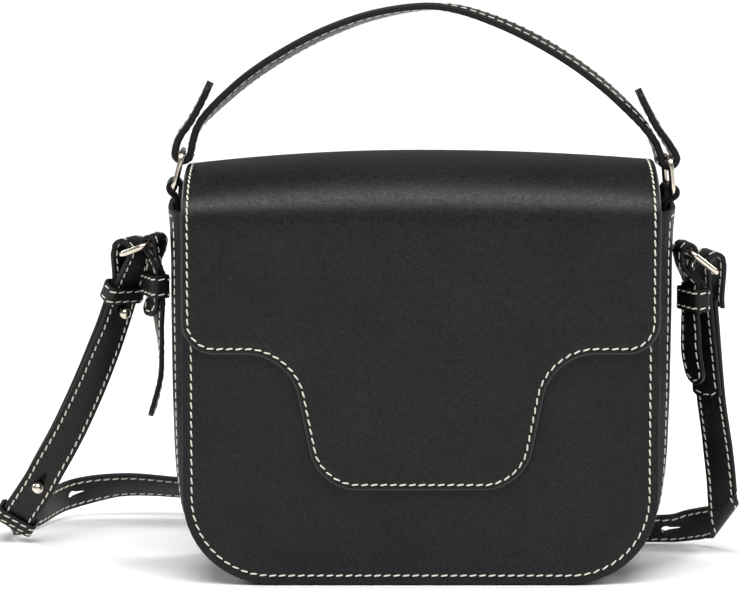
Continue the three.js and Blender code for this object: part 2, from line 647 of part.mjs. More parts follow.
// Strap keepers on the doubled left run
const layersDepth = layerShift + strapLeather / 2 + 0.6;
function strapKeeper(frame, height) {
  return keeper(frame.place, frame.width, frame.run, strapWidth / 2 + 0.75, layersDepth, height);
}

add('strap_keeper_upper', strapKeeper(runFrames[10], 8.5));
add('strap_keeper_lower', strapKeeper(runFrames[1], 6.6));

// Studs: ball heads on necks through both layers, with a flat base behind
function stud(frame) {
  const back = layerShift + strapLeather / 2 + 0.8;
  const centre = back + 0.1 + studBall * 0.82;
  const profile = [[0, -back - 1.1], [studBase, -back - 1.1], [studBase, -back], [studNeck, -back]];
  const start = Math.asin(studNeck / studBall);
  for (let k = 0; k <= 6; k += 1) {
    const angle = Math.PI - start - ((Math.PI - start) * k) / 6;
    profile.push([Math.max(0, studBall * Math.sin(angle)), centre + studBall * Math.cos(angle)]);
  }
  const body = new THREE.LatheGeometry(profile.map(([r, h]) => new THREE.Vector2(r, h)), 12);
  const outward = frame.face.clone().negate();
  const place = new THREE.Matrix4().makeBasis(frame.width, outward, frame.width.clone().cross(outward));
  place.setPosition(frame.place);
  body.applyMatrix4(place);
  return body;
}

add('stud_upper', stud(upperStud), wire);
add('stud_lower', stud(lowerStud), wire);

export default bag;
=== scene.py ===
import bisect
import math

import bmesh
import bpy
from mathutils import Matrix, Vector


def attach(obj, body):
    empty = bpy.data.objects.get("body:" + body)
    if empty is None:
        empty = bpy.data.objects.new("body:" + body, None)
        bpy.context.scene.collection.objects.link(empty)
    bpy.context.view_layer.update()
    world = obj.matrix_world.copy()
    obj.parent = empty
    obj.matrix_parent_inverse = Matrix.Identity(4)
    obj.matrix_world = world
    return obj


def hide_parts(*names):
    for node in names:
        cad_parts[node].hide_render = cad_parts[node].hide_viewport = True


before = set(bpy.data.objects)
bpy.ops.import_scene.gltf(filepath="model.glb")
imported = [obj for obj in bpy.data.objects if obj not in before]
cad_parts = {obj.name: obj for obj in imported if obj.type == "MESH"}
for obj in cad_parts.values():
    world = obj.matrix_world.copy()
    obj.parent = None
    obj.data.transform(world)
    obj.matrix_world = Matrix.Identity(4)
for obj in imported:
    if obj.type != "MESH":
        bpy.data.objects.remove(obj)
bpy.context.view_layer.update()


# Front and back panels: two upright plates of smooth black calf leather with rounded lower corners.
# They are cut flat, their edges rounded and painted, and sewn round the rim to the gusset between them.
# All sizes here and below are in millimetres until a finished piece is scaled to metres.
panel_leather = 2.2
panel_half_width = 102
panel_corner = 37.5
panel_low = 0.4
front_panel_top = 150
back_panel_top = 155
panel_outer = 37.5
panel_margin = 3.8
panel_top_corner = 6
panel_cells = 12
rim_share = 0.36
pressed_half = 0.9
pressed_depth = 0.28


def node(tree, kind, **inputs):
    """A shader node with its constant inputs set by name, spaces written as underscores."""
    made = tree.nodes.new("ShaderNode" + kind)
    for key, value in inputs.items():
        socket = made.inputs.get(key.replace("_", " "))
        socket.default_value = value
    return made


def new_material(name):
    """An empty node material with one shader on its output."""
    material = bpy.data.materials.new(name)
    material.use_nodes = True
    tree = material.node_tree
    shader = next(n for n in tree.nodes if n.type == "BSDF_PRINCIPLED")
    return material, tree, shader


def ramp(tree, factor, stops):
    """A colour ramp fed by a factor, from pairs of place and grey level or colour."""
    made = tree.nodes.new("ShaderNodeValToRGB")
    elements = made.color_ramp.elements
    while len(elements) < len(stops):
        elements.new(0.5)
    for element, (place, value) in zip(elements, stops):
        element.position = place
        element.color = (*value, 1) if isinstance(value, tuple) else (value, value, value, 1)
    tree.links.new(factor, made.inputs["Fac"])
    return made.outputs["Color"]


def noise(tree, place, scale, detail=2.0, roughness=0.5):
    """A noise pattern over the surface, as a factor."""
    made = node(tree, "TexNoise", Scale=scale, Detail=detail, Roughness=roughness)
    tree.links.new(place, made.inputs["Vector"])
    return made.outputs["Fac"]


def spread(tree, factor, low, high, start=0.0, end=1.0):
    """A factor between a start and an end, spread from a low to a high value."""
    made = node(tree, "MapRange", From_Min=start, From_Max=end, To_Min=low, To_Max=high)
    tree.links.new(factor, made.inputs["Value"])
    return made.outputs["Result"]


def relief(tree, height, strength, distance, under=None):
    """Surface relief from a height, laid over the relief under it."""
    made = node(tree, "Bump", Strength=strength, Distance=distance)
    tree.links.new(height, made.inputs["Height"])
    if under is not None:
        tree.links.new(under, made.inputs["Normal"])
    return made.outputs["Normal"]


def black_leather(name, grain=1.0, shine=0.24):
    """Smooth black calf: fine pebbled grain, soft cloudy tone, faint rub marks and a satin finish."""
    material, tree, shader = new_material(name)
    link = tree.links.new
    place = node(tree, "TexCoord").outputs["Object"]
    cloud = noise(tree, place, 26.0, 4.0, 0.6)
    tone = ramp(tree, cloud, [(0.3, (0.0056, 0.0058, 0.0060)), (0.7, (0.0092, 0.0095, 0.0098))])
    specks = spread(tree, noise(tree, place, 980.0, 4.0, 0.7), 0.1, 1.9, 0.3, 0.7)
    flecked = tree.nodes.new("ShaderNodeMix")
    flecked.data_type = "RGBA"
    flecked.blend_type = "MULTIPLY"
    flecked.inputs["Factor"].default_value = 1.0
    link(tone, flecked.inputs["A"])
    link(specks, flecked.inputs["B"])
    stretch = node(tree, "Mapping", Scale=(16.0, 16.0, 300.0), Rotation=(0.0, 0.5, 0.0))
    link(place, stretch.inputs["Vector"])
    rub = noise(tree, stretch.outputs["Vector"], 9.0, 3.0, 0.6)
    marks = ramp(tree, rub, [(0.735, 0.0), (0.765, 1.0)])
    where = ramp(tree, noise(tree, place, 21.0, 1.0), [(0.58, 0.0), (0.72, 1.0)])
    scuffs = node(tree, "Math")
    scuffs.operation = "MULTIPLY"
    link(marks, scuffs.inputs[0])
    link(where, scuffs.inputs[1])
    worn = tree.nodes.new("ShaderNodeMix")
    worn.data_type = "RGBA"
    worn.inputs["B"].default_value = (0.026, 0.026, 0.027, 1)
    link(scuffs.outputs["Value"], worn.inputs["Factor"])
    link(flecked.outputs["Result"], worn.inputs["A"])
    link(worn.outputs["Result"], shader.inputs["Base Color"])
    satin = spread(tree, noise(tree, place, 620.0, 5.0, 0.65), 0.26, 0.54, 0.3, 0.7)
    link(satin, shader.inputs["Roughness"])
    cells = node(tree, "TexVoronoi", Scale=1500.0)
    cells.feature = "DISTANCE_TO_EDGE"
    link(place, cells.inputs["Vector"])
    pebbles = ramp(tree, cells.outputs["Distance"], [(0.0, 0.0), (0.22, 1.0)])
    fine = relief(tree, pebbles, 0.22 * grain, 0.00014)
    medium = relief(tree, noise(tree, place, 520.0, 5.0, 0.62), 0.18 * grain, 0.0003, fine)
    broad = relief(tree, noise(tree, place, 34.0, 2.0), 0.10, 0.004, medium)
    link(broad, shader.inputs["Normal"])
    shader.inputs["Specular IOR Level"].default_value = shine
    return material


def edge_paint(name, shine):
    """Black edge paint: a smooth, slightly uneven coat on the cut edges."""
    material, tree, shader = new_material(name)
    runs = noise(tree, node(tree, "TexCoord").outputs["Object"], 420.0, 3.0, 0.55)
    tone = ramp(tree, runs, [(0.3, (0.005, 0.005, 0.0053)), (0.7, (0.010, 0.010, 0.0104))])
    tree.links.new(tone, shader.inputs["Base Color"])
    tree.links.new(spread(tree, runs, 0.42, 0.58), shader.inputs["Roughness"])
    tree.links.new(relief(tree, runs, 0.2, 0.0003), shader.inputs["Normal"])
    shader.inputs["Specular IOR Level"].default_value = shine
    return material


body_leather = black_leather("body_leather")
painted_edge = edge_paint("painted_edge", 0.2)


def set_piece(name, bm, materials, slot, *nodes):
    """Turns a finished mesh into a smooth-shaded piece in metres that stands for its CAD nodes."""
    bmesh.ops.recalc_face_normals(bm, faces=bm.faces)
    bmesh.ops.scale(bm, vec=(0.001, 0.001, 0.001), verts=bm.verts)
    for face in bm.faces:
        face.smooth = True
    for edge in bm.edges:
        edge.smooth = edge.calc_face_angle(0) < math.radians(50)
    mesh = bpy.data.meshes.new(name)
    bm.to_mesh(mesh)
    bm.free()
    for material in materials:
        mesh.materials.append(material)
    made = bpy.data.objects.new(name, mesh)
    bpy.context.scene.collection.objects.link(made)
    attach(made, "root")
    if nodes:
        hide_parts(*nodes)
    return made


def rounded_cut(corners):
    """A flat face cut to corner points x, y and radius, with every corner rounded."""
    bm = bmesh.new()
    points = [Vector((x, y, 0)) for x, y, radius in corners]
    verts = [bm.verts.new(p) for p in points]
    bm.faces.new(verts)
    for i, vert in enumerate(verts):
        before = points[i] - points[i - 1]
        after = points[(i + 1) % len(points)] - points[i]
        reach = corners[i][2] * math.tan(before.angle(after) / 2)
        bmesh.ops.bevel(bm, geom=[vert], offset=reach, affect="VERTICES", segments=14, profile=0.5,
                        material=-1)
    return bm


def cut_plate(corners, leather, margin, cells):
    """A plate cut flat: rounded rim, a pressed sewing line on the upper side, the lower side plain."""
    bm = rounded_cut(corners)
    bmesh.ops.solidify(bm, geom=list(bm.faces), thickness=leather)
    rim = [e for e in bm.edges if e.calc_face_angle(0) > 1.2]
    rounding = rim_share * leather
    bmesh.ops.bevel(bm, geom=rim, offset=rounding, affect="EDGES", segments=3, profile=0.5, material=-1)
    top = max(bm.faces, key=lambda f: f.calc_center_median().z * 1e6 + f.calc_area())
    for face in bm.faces:
        face.material_index = 0 if abs(face.normal.z) > 0.98 else 1
    to_line = margin - rounding - pressed_half
    for width, depth in ((to_line, 0), (pressed_half, -pressed_depth), (pressed_half, pressed_depth)):
        bmesh.ops.inset_region(bm, faces=[top], thickness=width, depth=depth, use_even_offset=True)
    for k, axis in enumerate((Vector((1, 0, 0)), Vector((0, 1, 0)))):
        low = min(corner[k] for corner in corners)
        high = max(corner[k] for corner in corners)
        count = round((high - low) / cells)
        for step in range(1, count):
            everything = list(bm.verts) + list(bm.edges) + list(bm.faces)
            cut = axis * (low + (high - low) * step / count)
            bmesh.ops.bisect_plane(bm, geom=everything, plane_co=cut, plane_no=axis)
    return bm


def panel_outline(top):
    """The corner points of one panel's cut, each with its radius."""
    return [(-panel_half_width, panel_low, panel_corner), (panel_half_width, panel_low, panel_corner),
            (panel_half_width, top, panel_top_corner), (-panel_half_width, top, panel_top_corner)]


def upright_panel(name, cad_node, top, turn):
    """One panel, cut flat, stood up and turned to face the front or the back."""
    panel = cut_plate(panel_outline(top), panel_leather, panel_margin, panel_cells)
    stood = Matrix.Rotation(turn, 3, "Z") @ Matrix.Rotation(math.pi / 2, 3, "X")
    bmesh.ops.rotate(panel, cent=(0, 0, 0), matrix=stood, verts=panel.verts)
    bmesh.ops.translate(panel, vec=(0, -panel_outer * math.cos(turn), 0), verts=panel.verts)
    set_piece(name, panel, [body_leather, painted_edge], "leather_black", cad_node)


upright_panel("panel_front", "front_panel", front_panel_top, 0)
upright_panel("panel_back", "back_panel", back_panel_top, math.pi)


# Gusset: one strip of the same leather that runs down the left side, under the base and up the right side.
# Both margins turn in behind the panels where they are sewn, and the sides belly out when the bag is full.
gusset_half_width = 101.6
gusset_half_depth = 35
gusset_leather = 2
gusset_top = 160.6
gusset_flange = 9
gusset_bend = 3
gusset_flat = gusset_half_depth - gusset_bend
gusset_left_fullness = 0.86
gusset_right_fullness = 1
gusset_belly = [(0, 0), (20, 0.8), (30, 2.4), (38, 3.6), (46, 4.8), (56, 5.6), (80, 6.4), (118, 6.9),
                (140, 6.9), (152, 7.4), (160.6, 8.2)]
gusset_side_steps = 40
gusset_corner_steps = 14
gusset_base_steps = 16
gusset_cuts = 19


def belly(x, y, z):
    """How far the gusset stands out on the side of x, at a depth and a height."""
    heights = [row[0] for row in gusset_belly]
    i = min(max(bisect.bisect(heights, z), 1), len(heights) - 1)
    (z0, b0), (z1, b1) = gusset_belly[i - 1], gusset_belly[i]
    share = min(max((z - z0) / (z1 - z0), 0), 1)
    full = gusset_left_fullness if x < 0 else gusset_right_fullness
    return full * (b0 + (b1 - b0) * share) * max(0, 1 - (y / gusset_flat) ** 4)


def gusset_out(place):
    """The outward direction of the gusset at a place on it: sideways, round the corner, or down."""
    beyond = abs(place.x) - (gusset_half_width - panel_corner)
    if beyond <= 0:
        return Vector((0, 0, -1))
    down = min(0, place.z - panel_corner)
    return Vector((math.copysign(beyond, place.x), 0, down)).normalized()


gusset = bmesh.new()
gusset_section = [(gusset_flange, -gusset_half_depth), (0, -gusset_half_depth), (0, gusset_half_depth),
                  (gusset_flange, gusset_half_depth)]
line = [gusset.verts.new((inward - gusset_half_width, y, gusset_top)) for inward, y in gusset_section]
for a, b in zip(line, line[1:]):
    gusset.edges.new((a, b))
bmesh.ops.bevel(gusset, geom=line[1:3], offset=gusset_bend, affect="VERTICES", segments=5, profile=0.5,
                material=-1)
face_edge = max(gusset.edges, key=lambda e: e.calc_length())
bmesh.ops.subdivide_edges(gusset, edges=[face_edge], cuts=gusset_cuts)
straight = gusset_top - panel_corner
base_half = gusset_half_width - panel_corner
swept = list(gusset.verts) + list(gusset.edges)
still = (0, 0, 0)
quarter = -math.pi / 2
for dvec, cent, angle, steps in (
        ((0, 0, -straight / gusset_side_steps), still, 0, gusset_side_steps),
        (still, (-base_half, 0, panel_corner), quarter, gusset_corner_steps),
        ((2 * base_half / gusset_base_steps, 0, 0), still, 0, gusset_base_steps),
        (still, (base_half, 0, panel_corner), quarter, gusset_corner_steps),
        ((0, 0, straight / gusset_side_steps), still, 0, gusset_side_steps)):
    spun = bmesh.ops.spin(gusset, geom=swept, cent=cent, axis=(0, 1, 0), dvec=dvec, angle=angle, steps=steps)
    swept = spun["geom_last"]
bmesh.ops.remove_doubles(gusset, verts=gusset.verts, dist=0.001)
for vert in gusset.verts:
    if abs(vert.co.y) < gusset_flat:
        vert.co += gusset_out(vert.co) * belly(*vert.co)
bmesh.ops.recalc_face_normals(gusset, faces=gusset.faces)
lowest = min(gusset.faces, key=lambda f: f.calc_center_median().z)
if lowest.normal.z > 0:
    bmesh.ops.reverse_faces(gusset, faces=gusset.faces)
bmesh.ops.solidify(gusset, geom=list(gusset.faces), thickness=gusset_leather)
for face in gusset.faces:
    if face.calc_center_median().z > gusset_top - 0.01:
        face.material_index = 1
# Painted shade: the gusset gets a much duller copy of the body leather, so its sides stay dark as if in
# shadow.
shaded_side_leather = black_leather("shaded_side_leather", shine=0.05)
set_piece("gusset_strip", gusset, [shaded_side_leather, painted_edge], "leather_black", "gusset")


# Flap: one sheet of thicker leather sewn across the back, bent over the top in a soft dome and hanging down
# the front to two shoulders and a rounded tongue. Its edge is rounded, painted and sewn all round.
flap_leather = 2.4
flap_half_width = 102.2
flap_taper = 2.8
flap_half_depth = 40.3
flap_spring = 158
flap_crown = 25.4
flap_left_droop = 6.2
flap_right_droop = 4.2
flap_back_edge = 132
flap_shoulder = 100.8
flap_tip = 41.8
flap_corner = 14
tongue_half_top = 56.3
tongue_half_tip = 44.5
tongue_fillet = 22
tongue_corner = 21
flap_margin = 2.6
flap_back_corner = 6
flap_cells = 5
dome_steps = 90
dome_travel = [0.0]
for step in range(1, dome_steps + 1):
    turned = math.pi * (step - 0.5) / dome_steps
    stretch = math.hypot(flap_half_depth * math.sin(turned), flap_crown * math.cos(turned))
    dome_travel.append(dome_travel[-1] + stretch * math.pi / dome_steps)
flap_front = flap_spring - flap_tip
flap_dome = dome_travel[-1]
flap_length = flap_front + flap_dome + flap_spring - flap_back_edge


def over_the_top(x, along, out):
    """Where a point of the flat flap ends up: across, along from the tongue's tip, and out of the leather."""
    if along <= flap_front:
        return Vector((x, -flap_half_depth - out, flap_tip + along))
    if along >= flap_front + flap_dome:
        fallen = along - flap_front - flap_dome
        return Vector((x * (1 - flap_taper / flap_half_width), flap_half_depth + out, flap_spring - fallen))
    travel = along - flap_front
    i = min(max(bisect.bisect(dome_travel, travel), 1), dome_steps)
    share = (travel - dome_travel[i - 1]) / (dome_travel[i] - dome_travel[i - 1])
    turned = math.pi * (i - 1 + share) / dome_steps
    rise = flap_crown - (flap_left_droop if x < 0 else flap_right_droop) * (x / flap_half_width) ** 2
    c, s = math.cos(turned), math.sin(turned)
    slope = math.hypot(rise * c, flap_half_depth * s)
    narrowed = x * (1 - flap_taper / flap_half_width * (1 - c) / 2)
    return Vector((narrowed, -flap_half_depth * c - out * rise * c / slope,
                   flap_spring + rise * s + out * flap_half_depth * s / slope))


shoulder_along = flap_shoulder - flap_tip
flap_right = [(tongue_half_tip, 0, tongue_corner), (tongue_half_top, shoulder_along, tongue_fillet),
              (flap_half_width, shoulder_along, flap_corner),
              (flap_half_width, flap_length, flap_back_corner)]
flap_left = [(-x, y, radius) for x, y, radius in reversed(flap_right)]
flap = cut_plate(flap_right + flap_left, flap_leather, flap_margin, flap_cells)
for vert in flap.verts:
    vert.co = over_the_top(*vert.co)
flap_edge = edge_paint("flap_edge", 0.6)
set_piece("flap_sheet", flap, [body_leather, flap_edge], "leather_black", "flap")


# Handle: one thick strip whose ends pass round the ring bars and return upward as short tails, sewn along
# both edges. The ends are rounded and the cut edges painted.
# Table columns: x, y, z of the middle line, then x, y, z of the width direction, left end first.
handle_width = 13
handle_leather = 3
handle_round = 4
handle_margin = 2.3
handle_turn = 3.4
groove_half = 0.6
groove_depth = 0.2
tip_shares = (0.02, 0.08, 0.18, 0.32, 0.5, 0.72, 1)
sideways = Vector((1, 0, 0))
upward = Vector((0, 0, 1))
left_bar = Vector((-102.4, 0, 183))
right_bar = Vector((106.4, 0, 180.6))


def knot_step(a, b, otherwise):
    """The root of the distance between two points, or another value where they meet."""
    step = (b - a).length ** 0.5
    return step if step > 1e-3 else otherwise


def on_curve(points, share):
    """A point at a share of the smooth curve through the points."""
    last = len(points) - 1
    i = min(int(share * last), last - 1)
    w = share * last - i
    p1, p2 = points[i], points[i + 1]
    p0 = points[i - 1] if i > 0 else 2 * p1 - p2
    p3 = points[i + 2] if i + 2 <= last else 2 * p2 - p1
    d1 = knot_step(p1, p2, 1.0)
    d0 = knot_step(p0, p1, d1)
    d2 = knot_step(p2, p3, d1)
    m1 = ((p1 - p0) / d0 - (p2 - p0) / (d0 + d1) + (p2 - p1) / d1) * d1
    m2 = ((p2 - p1) / d1 - (p3 - p1) / (d1 + d2) + (p3 - p2) / d2) * d1
    return p1 + m1 * w + (3 * (p2 - p1) - 2 * m1 - m2) * w ** 2 + (2 * (p1 - p2) + m1 + m2) * w ** 3


class Lay:
    """The way a strip lies: places, runs, widths and faces along its middle line, by travelled length."""

    def __init__(self, rows, per_row=16):
        places = [Vector(row[:3]) for row in rows]
        widths = [Vector(row[3:6]) for row in rows]
        slants = [row[6] if len(row) > 6 else 0 for row in rows]
        count = (len(rows) - 1) * per_row
        self.frames = []
        self.travel = []
        self.slants = []
        for k in range(count + 1):
            share = k / count
            place = on_curve(places, share)
            run = on_curve(places, min(1, share + 1e-4)) - on_curve(places, max(0, share - 1e-4))
            run.normalize()
            width = on_curve(widths, share)
            width = (width - run * width.dot(run)).normalized()
            step = (place - self.frames[-1][0]).length if self.frames else 0
            self.travel.append(self.travel[-1] + step if self.travel else 0)
            self.frames.append((place, run, width, run.cross(width)))
            i = min(k // per_row, len(rows) - 2)
            self.slants.append(slants[i] + (slants[i + 1] - slants[i]) * (k / per_row - i))
        self.length = self.travel[-1]

    def at(self, travelled):
        """Place, run, width and face at a travelled length."""
        i = min(max(bisect.bisect(self.travel, travelled), 1), len(self.travel) - 1)
        step = max(self.travel[i] - self.travel[i - 1], 1e-9)
        share = min(max((travelled - self.travel[i - 1]) / step, 0), 1)
        return [a.lerp(b, share) for a, b in zip(self.frames[i - 1], self.frames[i])]

    def across(self, travelled):
        """The line across the strip at a travelled length, slanted where the strip folds over."""
        place, run, width, face = self.at(travelled)
        i = min(max(bisect.bisect(self.travel, travelled), 1), len(self.travel) - 1)
        return width + run * self.slants[i]

    def rows(self, shift):
        """Table rows of a layer shifted along the face direction."""
        return [[*(place + face * shift), *width] for place, run, width, face in self.frames]

    def stations(self, spacing, turn):
        """Travelled lengths close enough together for a spacing and a turn in degrees."""
        cost = [0.0]
        for k in range(1, len(self.frames)):
            bent = math.degrees(self.frames[k - 1][1].angle(self.frames[k][1]))
            twisted = math.degrees(self.frames[k - 1][2].angle(self.frames[k][2]))
            gone = self.travel[k] - self.travel[k - 1]
            cost.append(cost[-1] + gone / spacing + max(bent, twisted) / turn)
        count = math.ceil(cost[-1])
        found = []
        for k in range(count + 1):
            goal = cost[-1] * k / count
            i = min(max(bisect.bisect(cost, goal), 1), len(cost) - 1)
            share = (goal - cost[i - 1]) / max(cost[i] - cost[i - 1], 1e-9)
            found.append(self.travel[i - 1] + (self.travel[i] - self.travel[i - 1]) * min(share, 1))
        return found


def turn_rows(centre, side, width, radius, start, end, count):
    """Table rows on an arc about a bar, from a start to an end angle."""
    rows = []
    for k in range(count + 1):
        angle = math.radians(start + (end - start) * k / count)
        place = centre + side * radius * math.cos(angle) + upward * radius * math.sin(angle)
        rows.append([*place, *width])
    return rows


def drawn_out(bm, section, step, count):
    """Draws a section straight out in even steps, and gives its far end."""
    drawn = bmesh.ops.spin(bm, geom=section, cent=(0, 0, 0), axis=(0, 0, 1), dvec=step, angle=0, steps=count)
    return drawn["geom_last"]


def flat_strip(stops, width, leather, margin, round_start=0, round_end=0):
    """A strip cut flat along X: rounded rim, pressed sewing lines on both sides, rounded or square ends."""
    length = stops[-1]
    extra = [share * round_start for share in tip_shares if round_start]
    extra += [length - share * round_end for share in tip_shares if round_end]
    stops = sorted(set(stops) | set(extra))
    bm = bmesh.new()
    half, thick = width / 2, leather / 2
    sewn = half - margin
    quarter = [(0, thick), (sewn - groove_half, thick), (sewn, thick - groove_depth),
               (sewn + groove_half, thick), (half, thick), (half, 0)]
    line = [bm.verts.new((0, y, z)) for y, z in quarter]
    for a, b in zip(line, line[1:]):
        bm.edges.new((a, b))
    bmesh.ops.bevel(bm, geom=[line[4]], offset=0.8 * thick, affect="VERTICES", segments=4, profile=0.5,
                    material=-1)
    for axis in "ZY":
        bmesh.ops.mirror(bm, geom=list(bm.verts) + list(bm.edges), merge_dist=1e-4, axis=axis)
    drawn_out(bm, list(bm.verts) + list(bm.edges), (1, 0, 0), len(stops) - 1)
    caps = bmesh.ops.holes_fill(bm, edges=[e for e in bm.edges if e.is_boundary], sides=0)["faces"]
    for face in bm.faces:
        face.material_index = int(abs(face.calc_center_median().y) > half - 0.7 * thick)
    for face in caps:
        face.material_index = 1
    for vert in bm.verts:
        vert.co.x = stops[round(vert.co.x)]
        for r, gone in ((round_start, vert.co.x), (round_end, length - vert.co.x)):
            if r and gone < r:
                vert.co.y *= max(0.12, math.sqrt(max(0, 1 - (1 - gone / r) ** 2)))
    return bm


def lay_down(bm, lay):
    """Bends a flat strip along its lay."""
    for vert in bm.verts:
        place, run, width, face = lay.at(vert.co.x)
        vert.co = place + lay.across(vert.co.x) * vert.co.y + face * vert.co.z
    return bm


handle_rows = [
    [-90.3, 0, 213.3, 0, 1, 0], [-95, 0, 203.8, 0, 1, 0], [-99.2, 0, 196.4, 0, 1, 0],
    [-104, 0, 189.4, 0, 1, 0],
    *turn_rows(left_bar, sideways, (0, 1, 0), handle_turn, 165, 360, 6),
    [-98, 0, 188, 0, 1, 0], [-95.8, 0, 194, 0.03, 1, -0.06], [-91.3, 0, 199.6, 0.14, 1, -0.15],
    [-75.2, 0, 214.2, 0.23, 1, -0.25], [-58.8, 0, 225.3, 0.2, 1, -0.29], [-40.2, 0, 235, 0.14, 1, -0.31],
    [-19.5, 0, 242.4, 0.06, 1, -0.26], [3.1, 0, 246, 0, 1, -0.13], [16.1, 0, 244.8, 0, 1, 0],
    [32.7, 0, 239.5, 0.03, 1, 0.09], [49.2, 0, 231.8, 0.06, 1, 0.12], [65.7, 0, 221.8, 0.08, 1, 0.11],
    [79.1, 0, 211.6, 0.09, 1, 0.1], [90.4, 0, 201, 0.08, 1, 0.07], [97, 0, 193.6, 0.03, 1, 0.02],
    [101, 0, 187, -0.1, 1, 0],
    *turn_rows(right_bar, sideways, (-0.12, 1, 0), handle_turn, 170, 375, 6),
    [106, 0, 188, -0.1, 1, 0], [102.6, 0, 193.2, 0, 1, 0], [98.2, 0, 201, 0, 1, 0], [93.6, 0, 210.2, 0, 1, 0],
]
strap_hide = black_leather("strap_leather", grain=0.8)
handle_lay = Lay(handle_rows)
handle = flat_strip(handle_lay.stations(spacing=3, turn=8), handle_width, handle_leather, handle_margin,
                    handle_round, handle_round)
set_piece("handle_strip", lay_down(handle, handle_lay), [strap_hide, painted_edge], "leather_black", "handle")


# Wire rings: round pale gold wire bent to rectangles with rounded corners and closed. The two small ones
# carry the handle on the gusset tops, the two larger ones carry the shoulder strap on the side tabs.
handle_wire = 1.25
handle_ring_half = 8.8
left_low = Vector((-106, 0, 168))
right_low = Vector((107.6, 0, 166))
strap_wire = 1.3
strap_ring_half = 10
ring_corner = 3
left_along = Vector((0.375, 0.927, 0))
left_bar_a = Vector((-115, -4, 144))
left_bar_b = left_bar_a + 12.5 * Vector((-0.859, 0.348, -0.375))
right_along = Vector((-0.259, 0.966, 0))
right_bar_a = Vector((114.5, -3, 140.5))
right_bar_b = right_bar_a + 14.6 * Vector((0.761, 0.204, -0.616))


def pale_metal(name):
    """Pale gold plated wire: bright, with fine draw lines and a faintly cloudy polish."""
    material, tree, shader = new_material(name)
    place = node(tree, "TexCoord").outputs["Object"]
    cloud = noise(tree, place, 240.0, 4.0, 0.6)
    tone = ramp(tree, cloud, [(0.3, (0.66, 0.60, 0.49)), (0.7, (0.78, 0.72, 0.60))])
    tree.links.new(tone, shader.inputs["Base Color"])
    tree.links.new(spread(tree, cloud, 0.14, 0.30), shader.inputs["Roughness"])
    draw_lines = relief(tree, noise(tree, place, 1800.0, 3.0, 0.6), 0.06, 0.0001)
    tree.links.new(draw_lines, shader.inputs["Normal"])
    shader.inputs["Metallic"].default_value = 1.0
    return material


gold_wire = pale_metal("pale_gold_wire")


def wire_ring(name, cad_node, bar_a, bar_b, along, half, wire):
    """A closed wire rectangle between two bars: straight runs drawn out, corners spun."""
    reach = (bar_b - bar_a).length / 2
    bm = bmesh.new()
    start = Matrix.Translation((half, 0, 0)) @ Matrix.Rotation(math.pi / 2, 4, "X")
    bmesh.ops.create_circle(bm, cap_ends=False, segments=16, radius=wire, matrix=start)
    swept = list(bm.verts) + list(bm.edges)
    corner_x, corner_y = half - ring_corner, reach - ring_corner
    runs = [((0, corner_y, 0), (corner_x, corner_y, 0)),
            ((-2 * corner_x, 0, 0), (-corner_x, corner_y, 0)),
            ((0, -2 * corner_y, 0), (-corner_x, -corner_y, 0)),
            ((2 * corner_x, 0, 0), (corner_x, -corner_y, 0)),
            ((0, corner_y, 0), None)]
    for run, corner in runs:
        swept = drawn_out(bm, swept, Vector(run) / 4, 4)
        if corner:
            spun = bmesh.ops.spin(bm, geom=swept, cent=corner, axis=(0, 0, 1), angle=math.pi / 2, steps=8)
            swept = spun["geom_last"]
    bmesh.ops.remove_doubles(bm, verts=bm.verts, dist=0.01)
    across = (bar_b - bar_a).normalized()
    out = along.normalized().cross(across)
    turned = Matrix((along.normalized(), across, out)).transposed().to_4x4()
    bmesh.ops.transform(bm, matrix=Matrix.Translation((bar_a + bar_b) / 2) @ turned, verts=bm.verts)
    set_piece(name, bm, [gold_wire], "metal_pale_gold", cad_node)


wire_ring("ring_handle_left", "handle_ring_left", left_low, left_bar, Vector((0, 1, 0)),
          handle_ring_half, handle_wire)
wire_ring("ring_handle_right", "handle_ring_right", right_low, right_bar, Vector((-0.12, 0.993, 0)),
          handle_ring_half, handle_wire)
wire_ring("ring_strap_left", "strap_ring_left", left_bar_a, left_bar_b, left_along,
          strap_ring_half, strap_wire)
wire_ring("ring_strap_right", "strap_ring_right", right_bar_a, right_bar_b, right_along,
          strap_ring_half, strap_wire)


# Ring tabs: short thin strips looped round the lower bars of the handle rings.
# Both legs go down inside the gusset tops, where they are sewn.
ring_tab_width = 13
ring_tab_leather = 1.8
ring_tab_margin = 2.2
ring_tab_gap = 0.6


def ring_tab(name, cad_node, bar, side, width):
    """One loop of thin leather round a ring bar."""
    turn = handle_wire + ring_tab_gap + ring_tab_leather / 2
    legs = [(103.8, 147), (104.6, 156.5), (105.4, bar.z - 5)]
    back_legs = [(103.2, bar.z - 5), (102.4, 156.5), (101.4, 147)]
    rows = [[side * x, 0, z, *width] for x, z in legs]
    rows += turn_rows(bar, sideways * side, width, turn, -35, 205, 7)
    rows += [[side * x, 0, z, *width] for x, z in back_legs]
    lay = Lay(rows)
    tab = flat_strip(lay.stations(spacing=3, turn=10), ring_tab_width, ring_tab_leather, ring_tab_margin)
    set_piece(name, lay_down(tab, lay), [strap_hide, painted_edge], "leather_black", cad_node)


ring_tab("tab_ring_left", "ring_tab_left", left_low, -1, (0, 1, 0))
ring_tab("tab_ring_right", "ring_tab_right", right_low, 1, (-0.12, 0.993, 0))


